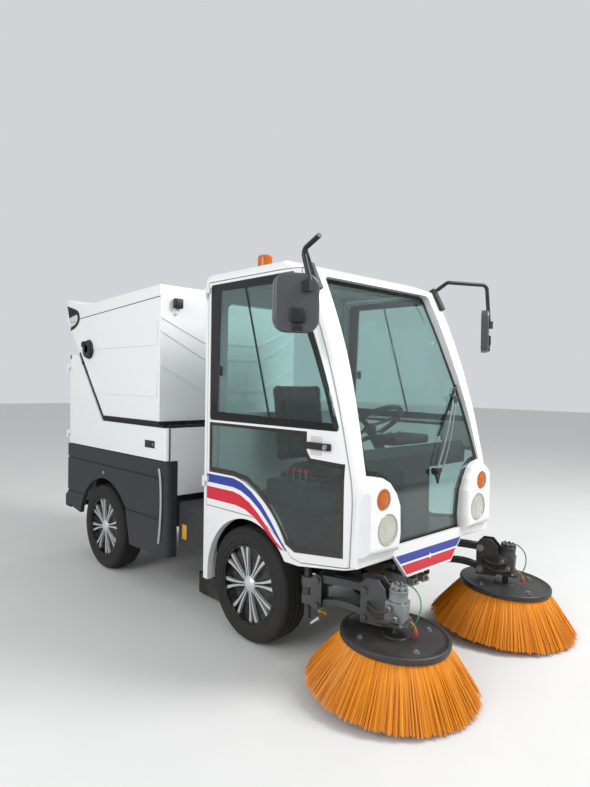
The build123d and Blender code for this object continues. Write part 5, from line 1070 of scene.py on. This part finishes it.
# %% Latches, reflectors and side rails
LOCK_BARREL = ((0, 0), (9, 0), (9, 3), (7, 4), (0, 4))
SCREW_HEAD = ((0, 0), (13, 0), (13, 2), (9, 5), (0, 6))
for name, side in SIDES:
    outwards = (0, side, 0)
    boxes(f"cover_latch_{name}", BLACK_ABS, f"cover_{name}",
          ((-219.0, side * 571, 924.0), (-97.0, side * 576.4, 972.0), 2.4),
          ((-208.0, side * 574, 932.0), (-136.0, side * 579, 964.0), 3.0))
    lathe_piece(f"cover_lock_{name}", ZINC, f"cover_{name}", LOCK_BARREL, 20,
                [facing((-118.0, side * 576.0, 948.0), outwards)])
    rail = bmesh.new()
    hose(rail, [(-36, side * 580, 806), (-14, side * 583, 770), (-2, side * 584, 660), (-2, side * 584, 560),
                (-10, side * 584, 440), (-34, side * 580, 346)], 7.0, 12)
    make_piece(f"corner_rail_{name}", rail, GREY_TUBE, "chassis")
    boxes(f"side_reflector_{name}", YELLOW_REFLECTOR, "chassis",
          ((126.0, side * 510, 396.0), (174.0, side * 514, 484.0), 1.5))
    boxes(f"side_marker_{name}", RED_LENS, f"cover_{name}",
          ((-1362, side * 576.4 - 1.4, 1506), (-1341, side * 576.4 + 1.4, 1536), 1.0))
    lathe_piece(f"skirt_screw_{name}", ZINC, "chassis", SCREW_HEAD, 20,
                [facing((-790.0, side * 575.0, 691.0), outwards)])

# %% [markdown]
# Behind each front wheel the real machine has a moulded liner that keeps road spray off the frame
# and closes the view through to the other side. Two plain panels, one along the frame rail and one
# under the cab's rear wall, do the same here.

# %% Wheel arch liners
for name, side in SIDES:
    boxes(f"arch_liner_{name}", BLACK_ABS, "chassis",
          ((446.0, side * 226, 400.0), (1290.0, side * 229, 681.0), 1.0),
          ((444.0, side * 229, 430.0), (447.0, side * 500, 681.0), 1.0))

# %% [markdown]
# ## Wiper and mirrors
#
# The CAD wiper is one plain solid. Here it becomes a pivot, two thin pressed arms and a rubber blade
# that lies on the glass, with every point dropped onto the windscreen.

# %% Wiper
WIPER_FOOT = Vector((1700.0, 42.0, 919.0))
WIPER_TIP = Vector((1700.0, 446.0, 1348.0))
BLADE_LOW = Vector((1700.0, 150.0, 1088.0))


def on_screen(point, lift):
    """The place on the windscreen in front of a point, lifted off the glass."""
    eye = Vector((1700.0, point[1], point[2]))
    glass = surface_of("windscreen")
    hit = glass.ray_cast(eye, Vector((-1, 0, 0)))[0] or glass.find_nearest(eye)[0]
    return hit + Vector((lift, 0.0, lift * 0.2))


blade, rubber, pivot = bmesh.new(), bmesh.new(), bmesh.new()
hose(rubber, [on_screen(BLADE_LOW.lerp(WIPER_TIP, i / 10), 4.5) for i in range(11)], 4.0)
hose(rubber, [on_screen(BLADE_LOW.lerp(WIPER_TIP, i / 10), 11.0) for i in range(11)], 3.0)
make_piece("wiper_rubber", rubber, SOFT_RUBBER, "chassis")
middle = BLADE_LOW.lerp(WIPER_TIP, 0.72)
for shift, thick in ((Vector((0, 0, 0)), 4.5), (Vector((0, 40, -8)), 3.5)):
    hose(blade, [on_screen(WIPER_FOOT + shift, 24), on_screen(WIPER_FOOT.lerp(middle, 0.25) + shift, 30),
                 on_screen(WIPER_FOOT.lerp(middle, 0.5) + shift * 0.9, 30),
                 on_screen(WIPER_FOOT.lerp(middle, 0.75) + shift * 0.7, 28), on_screen(middle + shift * 0.5, 20)],
         thick)
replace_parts(make_piece("wiper_arms", blade, WIPER_STEEL, "chassis"), "wiper")
foot_place = on_screen(WIPER_FOOT, 0.5)
stamp(pivot, turned(((0, 0), (17, 0), (17, 10), (14, 22), (12, 34), (0, 36)), 24), [facing(foot_place, (1, 0, 0.2))])
hose(pivot, [on_screen(middle + Vector((0, -60, -62)), 12), on_screen(middle + Vector((0, -20, -20)), 19),
             on_screen(middle + Vector((0, 20, 20)), 19), on_screen(middle + Vector((0, 60, 62)), 12)], 5.5)
plate(pivot, [on_screen(middle + Vector((0, y, z)), 16) for y, z in ((-26, 20), (52, 6), (8, -34))], (9, 0, 2))
plate(pivot, [on_screen(WIPER_FOOT + Vector((0, y, z)), 14) for y, z in ((-22, 16), (50, 10), (4, -62))], (9, 0, 2))
make_piece("wiper_pivot", pivot, BLACK_ABS, "chassis")

# %% [markdown]
# A mirror head is a box with four well rounded corners and a softer front edge, which two bevels of
# different size give. The glass stands a little in front of the other face, turned towards the driver.

# %% Mirror glasses
MIRRORS = {"right": Vector((1371.0, -782.0, 1682.0)), "left": Vector((1371.0, 782.0, 1672.0))}


def along_edges(shape, direction):
    """The edges of a shape that run along a direction."""
    return [edge for edge in shape.edges
            if abs((edge.verts[0].co - edge.verts[1].co).normalized().dot(direction)) > 0.9]


for name, side in SIDES:
    normal = Vector((0.877, side * 0.48, 0.0)).normalized()
    across = Vector((side * 0.48, -0.877, 0.0)).normalized()
    head = columns(across, normal.cross(across), normal, MIRRORS[name])
    shell, glass = bmesh.new(), bmesh.new()
    block(shell, (-98, -124, -12.0), (98, 124, 30.0), 0.0, head)
    rounded(shell, along_edges(shell, normal), 58.0, 10)
    front = [edge for edge in shell.edges if all((v.co - MIRRORS[name]).dot(normal) > 29.0 for v in edge.verts)]
    rounded(shell, front, 14.0, 5)
    make_piece(f"mirror_shell_{name}", shell, MIRROR_SHELL, "chassis")
    boxes(f"mirror_clamp_{name}", BLACK_ABS, "chassis", ((-34, 24, 26), (34, 84, 42), 7.0),
          ((-22, 84, 20), (22, 118, 38), 5.0), place=head)
    block(glass, (-80, -106, -16.5), (80, 106, -14.2), 0.0, head)
    rounded(glass, along_edges(glass, normal), 44.0, 8)
    make_piece(f"mirror_glass_{name}", glass, MIRROR_GLASS, "chassis")

# %% [markdown]
# ## Inside the cab
#
# The driver's seat shows through the glass. Foam under vinyl swells between its edges and is drawn
# in along its seams. Each cushion starts as a rounded block a little small, is blown up a little by
# a cloth simulation, and then has its seams pressed in.

# %% Seat cushions
def swollen(name, shape, body, seams, cap=0.014):
    """A cushion from a block: remeshed, blown up as cloth, held to a cap, and drawn in along its seams."""
    piece = make_piece(name, shape, SEAT_VINYL, body)
    piece.modifiers.new("remesh", "REMESH").voxel_size = 0.007
    evaluated = piece.evaluated_get(bpy.context.evaluated_depsgraph_get())
    piece_mesh = bpy.data.meshes.new_from_object(evaluated)
    piece.modifiers.clear()
    piece.data = piece_mesh
    start = [vertex.co.copy() for vertex in piece_mesh.vertices]
    cloth = piece.modifiers.new("cloth", "CLOTH")
    cloth.settings.use_pressure = True
    cloth.settings.uniform_pressure_force = 4.0
    cloth.settings.effector_weights.gravity = 0.0
    for step in range(1, 21):
        bpy.context.scene.frame_set(step)
    evaluated = piece.evaluated_get(bpy.context.evaluated_depsgraph_get())
    moved = [vertex.co.copy() for vertex in evaluated.data.vertices]
    piece.modifiers.clear()
    bpy.context.scene.frame_set(1)
    for vertex, old, new in zip(piece_mesh.vertices, start, moved):
        shift = new - old
        vertex.co = old + shift * min(1.0, cap / max(shift.length, 1e-9))
    for vertex in piece_mesh.vertices:
        here = TO_DRAWING @ vertex.co
        for seam, depth in seams:
            vertex.co -= vertex.normal * 0.001 * depth * math.exp(-(seam(here) / 7.0) ** 2)
    for polygon in piece_mesh.polygons:
        polygon.use_smooth = True
    smooth = piece.modifiers.new("smooth", "SUBSURF")
    smooth.levels = smooth.render_levels = 1
    print(name, "faces", len(piece_mesh.polygons))
    return piece


base, back = bmesh.new(), bmesh.new()
block(base, (700, -205, 835), (1056, 205, 884), 26.0)
cushion = swollen("seat_cushion", base, "chassis", ((lambda p: abs(p.y) - 128, 6.0), (lambda p: p.x - 880, 4.0)))
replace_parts(cushion, "driver_seat")
LEAN_BACK = Matrix.Translation((640.0, 0.0, 880.0)) @ Matrix.Rotation(math.radians(-7), 4, "Y")
block(back, (-38, -195, 8), (26, 195, 466), 28.0, LEAN_BACK)
swollen("seat_back", back, "chassis",
        ((lambda p: abs(p.y) - 118, 6.0), (lambda p: p.z - 1090, 4.0), (lambda p: p.z - 1240, 4.0)))
boxes("seat_stand", BLACK_ABS, "chassis", ((640, -170, 701), (960, 170, 742), 8.0),
      ((660, -150, 740), (940, 150, 806), 14.0), ((648, -196, 804), (1040, 196, 838), 12.0))

# %% [markdown]
# Behind the tinted glass only large dark forms and a few bright spots can be made out. So there is a
# binnacle with three ringed dials, a console with four levers and two pedals, and no finer detail.

# %% Controls
boxes("instrument_binnacle", DASH_ABS, "chassis", ((1262, -150, 1046), (1420, 150, 1092), 16.0))
dials = bmesh.new()
for y in (-86.0, 0.0, 86.0):
    stamp(dials, turned(((0, 0), (30, 0), (32, 2), (34, 5), (36, 5), (37, 0), (37, -3), (0, -3)), 32),
          [facing((1262.5, y, 1066.0), (-1, 0, 0.35))])
make_piece("instrument_dials", dials, GREY_TUBE, "chassis")
boxes("side_console", DASH_ABS, "chassis", ((760, -400, 701), (1060, -268, 834), 16.0),
      ((1060, -380, 701), (1180, -288, 800), 16.0))
levers, knobs = bmesh.new(), bmesh.new()
for step in range(4):
    x = 860.0 + step * 46
    rod(levers, (x, -334, 832), (x + 6, -334, 878), 4.0, sides=10)
    stamp(knobs, turned(((0, -14), (8, -12), (13, -3), (13, 4), (8, 12), (0, 14)), 16),
          [Matrix.Translation((x + 7, -334, 888))])
make_piece("console_levers", levers, ZINC, "chassis")
make_piece("console_knobs", knobs, RED_CAP, "chassis")
PEDAL_FOOT = Vector((1174.0, 0.0, 700.0))
PEDAL_TILT = (Matrix.Translation(PEDAL_FOOT) @ Matrix.Rotation(math.radians(-28), 4, "Y")
              @ Matrix.Translation(-PEDAL_FOOT))
boxes("pedals", SOFT_RUBBER, "chassis", *(((1170, y - 32, 716), (1178, y + 32, 790), 3.0) for y in (-150.0, 140.0)),
      place=PEDAL_TILT)

# %% [markdown]
# The floor is one large pale sheet that keeps the truck's shadow. The light is even from all round,
# with one soft key lamp from the front left above, and a weaker fill from the right.

# %% Floor, world and lamps
floor_mesh = bmesh.new()
bmesh.ops.create_grid(floor_mesh, x_segments=1, y_segments=1, size=30.0)
floor_data = bpy.data.meshes.new("studio_floor")
floor_mesh.to_mesh(floor_data)
floor_mesh.free()
floor = bpy.data.objects.new("studio_floor", floor_data)
bpy.context.scene.collection.objects.link(floor)
floor_material, floor_tree, floor_shader, floor_place = new_material("pale_floor")
# a faint mottling, about 330 mm across
speckle = add_node(floor_tree, "ShaderNodeTexNoise", {"Scale": 3.0, "Detail": 4.0}, {"Vector": floor_place})
speckle_mix = add_node(floor_tree, "ShaderNodeMix", {"data_type": "RGBA", 6: colour("#D2D2D0"), 7: colour("#D9D9D7")},
                       {0: speckle.outputs["Fac"]})
floor_tree.links.new(speckle_mix.outputs[2], floor_shader.inputs["Base Color"])
floor_shader.inputs["Roughness"].default_value = 0.8
floor_data.materials.append(floor_material)

world = bpy.data.worlds.new("studio")
bpy.context.scene.world = world
world.use_nodes = True
background = world.node_tree.nodes["Background"]
background.inputs["Color"].default_value = colour("#EEF1F4")
background.inputs["Strength"].default_value = 0.75


def area_lamp(name, place, target, size, power):
    """A large soft lamp that faces a point."""
    data = bpy.data.lights.new(name, "AREA")
    data.shape = "DISK"
    data.size = size
    data.energy = power
    lamp = bpy.data.objects.new(name, data)
    lamp.location = place
    lamp.rotation_euler = (Vector(target) - Vector(place)).to_track_quat("-Z", "Y").to_euler()
    bpy.context.scene.collection.objects.link(lamp)


area_lamp("key", (4.5, 3.0, 5.5), (0.0, 0.0, 0.9), 3.0, 420.0)
area_lamp("fill", (1.0, -6.0, 3.5), (0.0, 0.0, 0.8), 4.0, 160.0)
bpy.context.scene.view_settings.view_transform = "Standard"
print("world", world.name, "lamps", [lamp.name for lamp in bpy.data.lights])
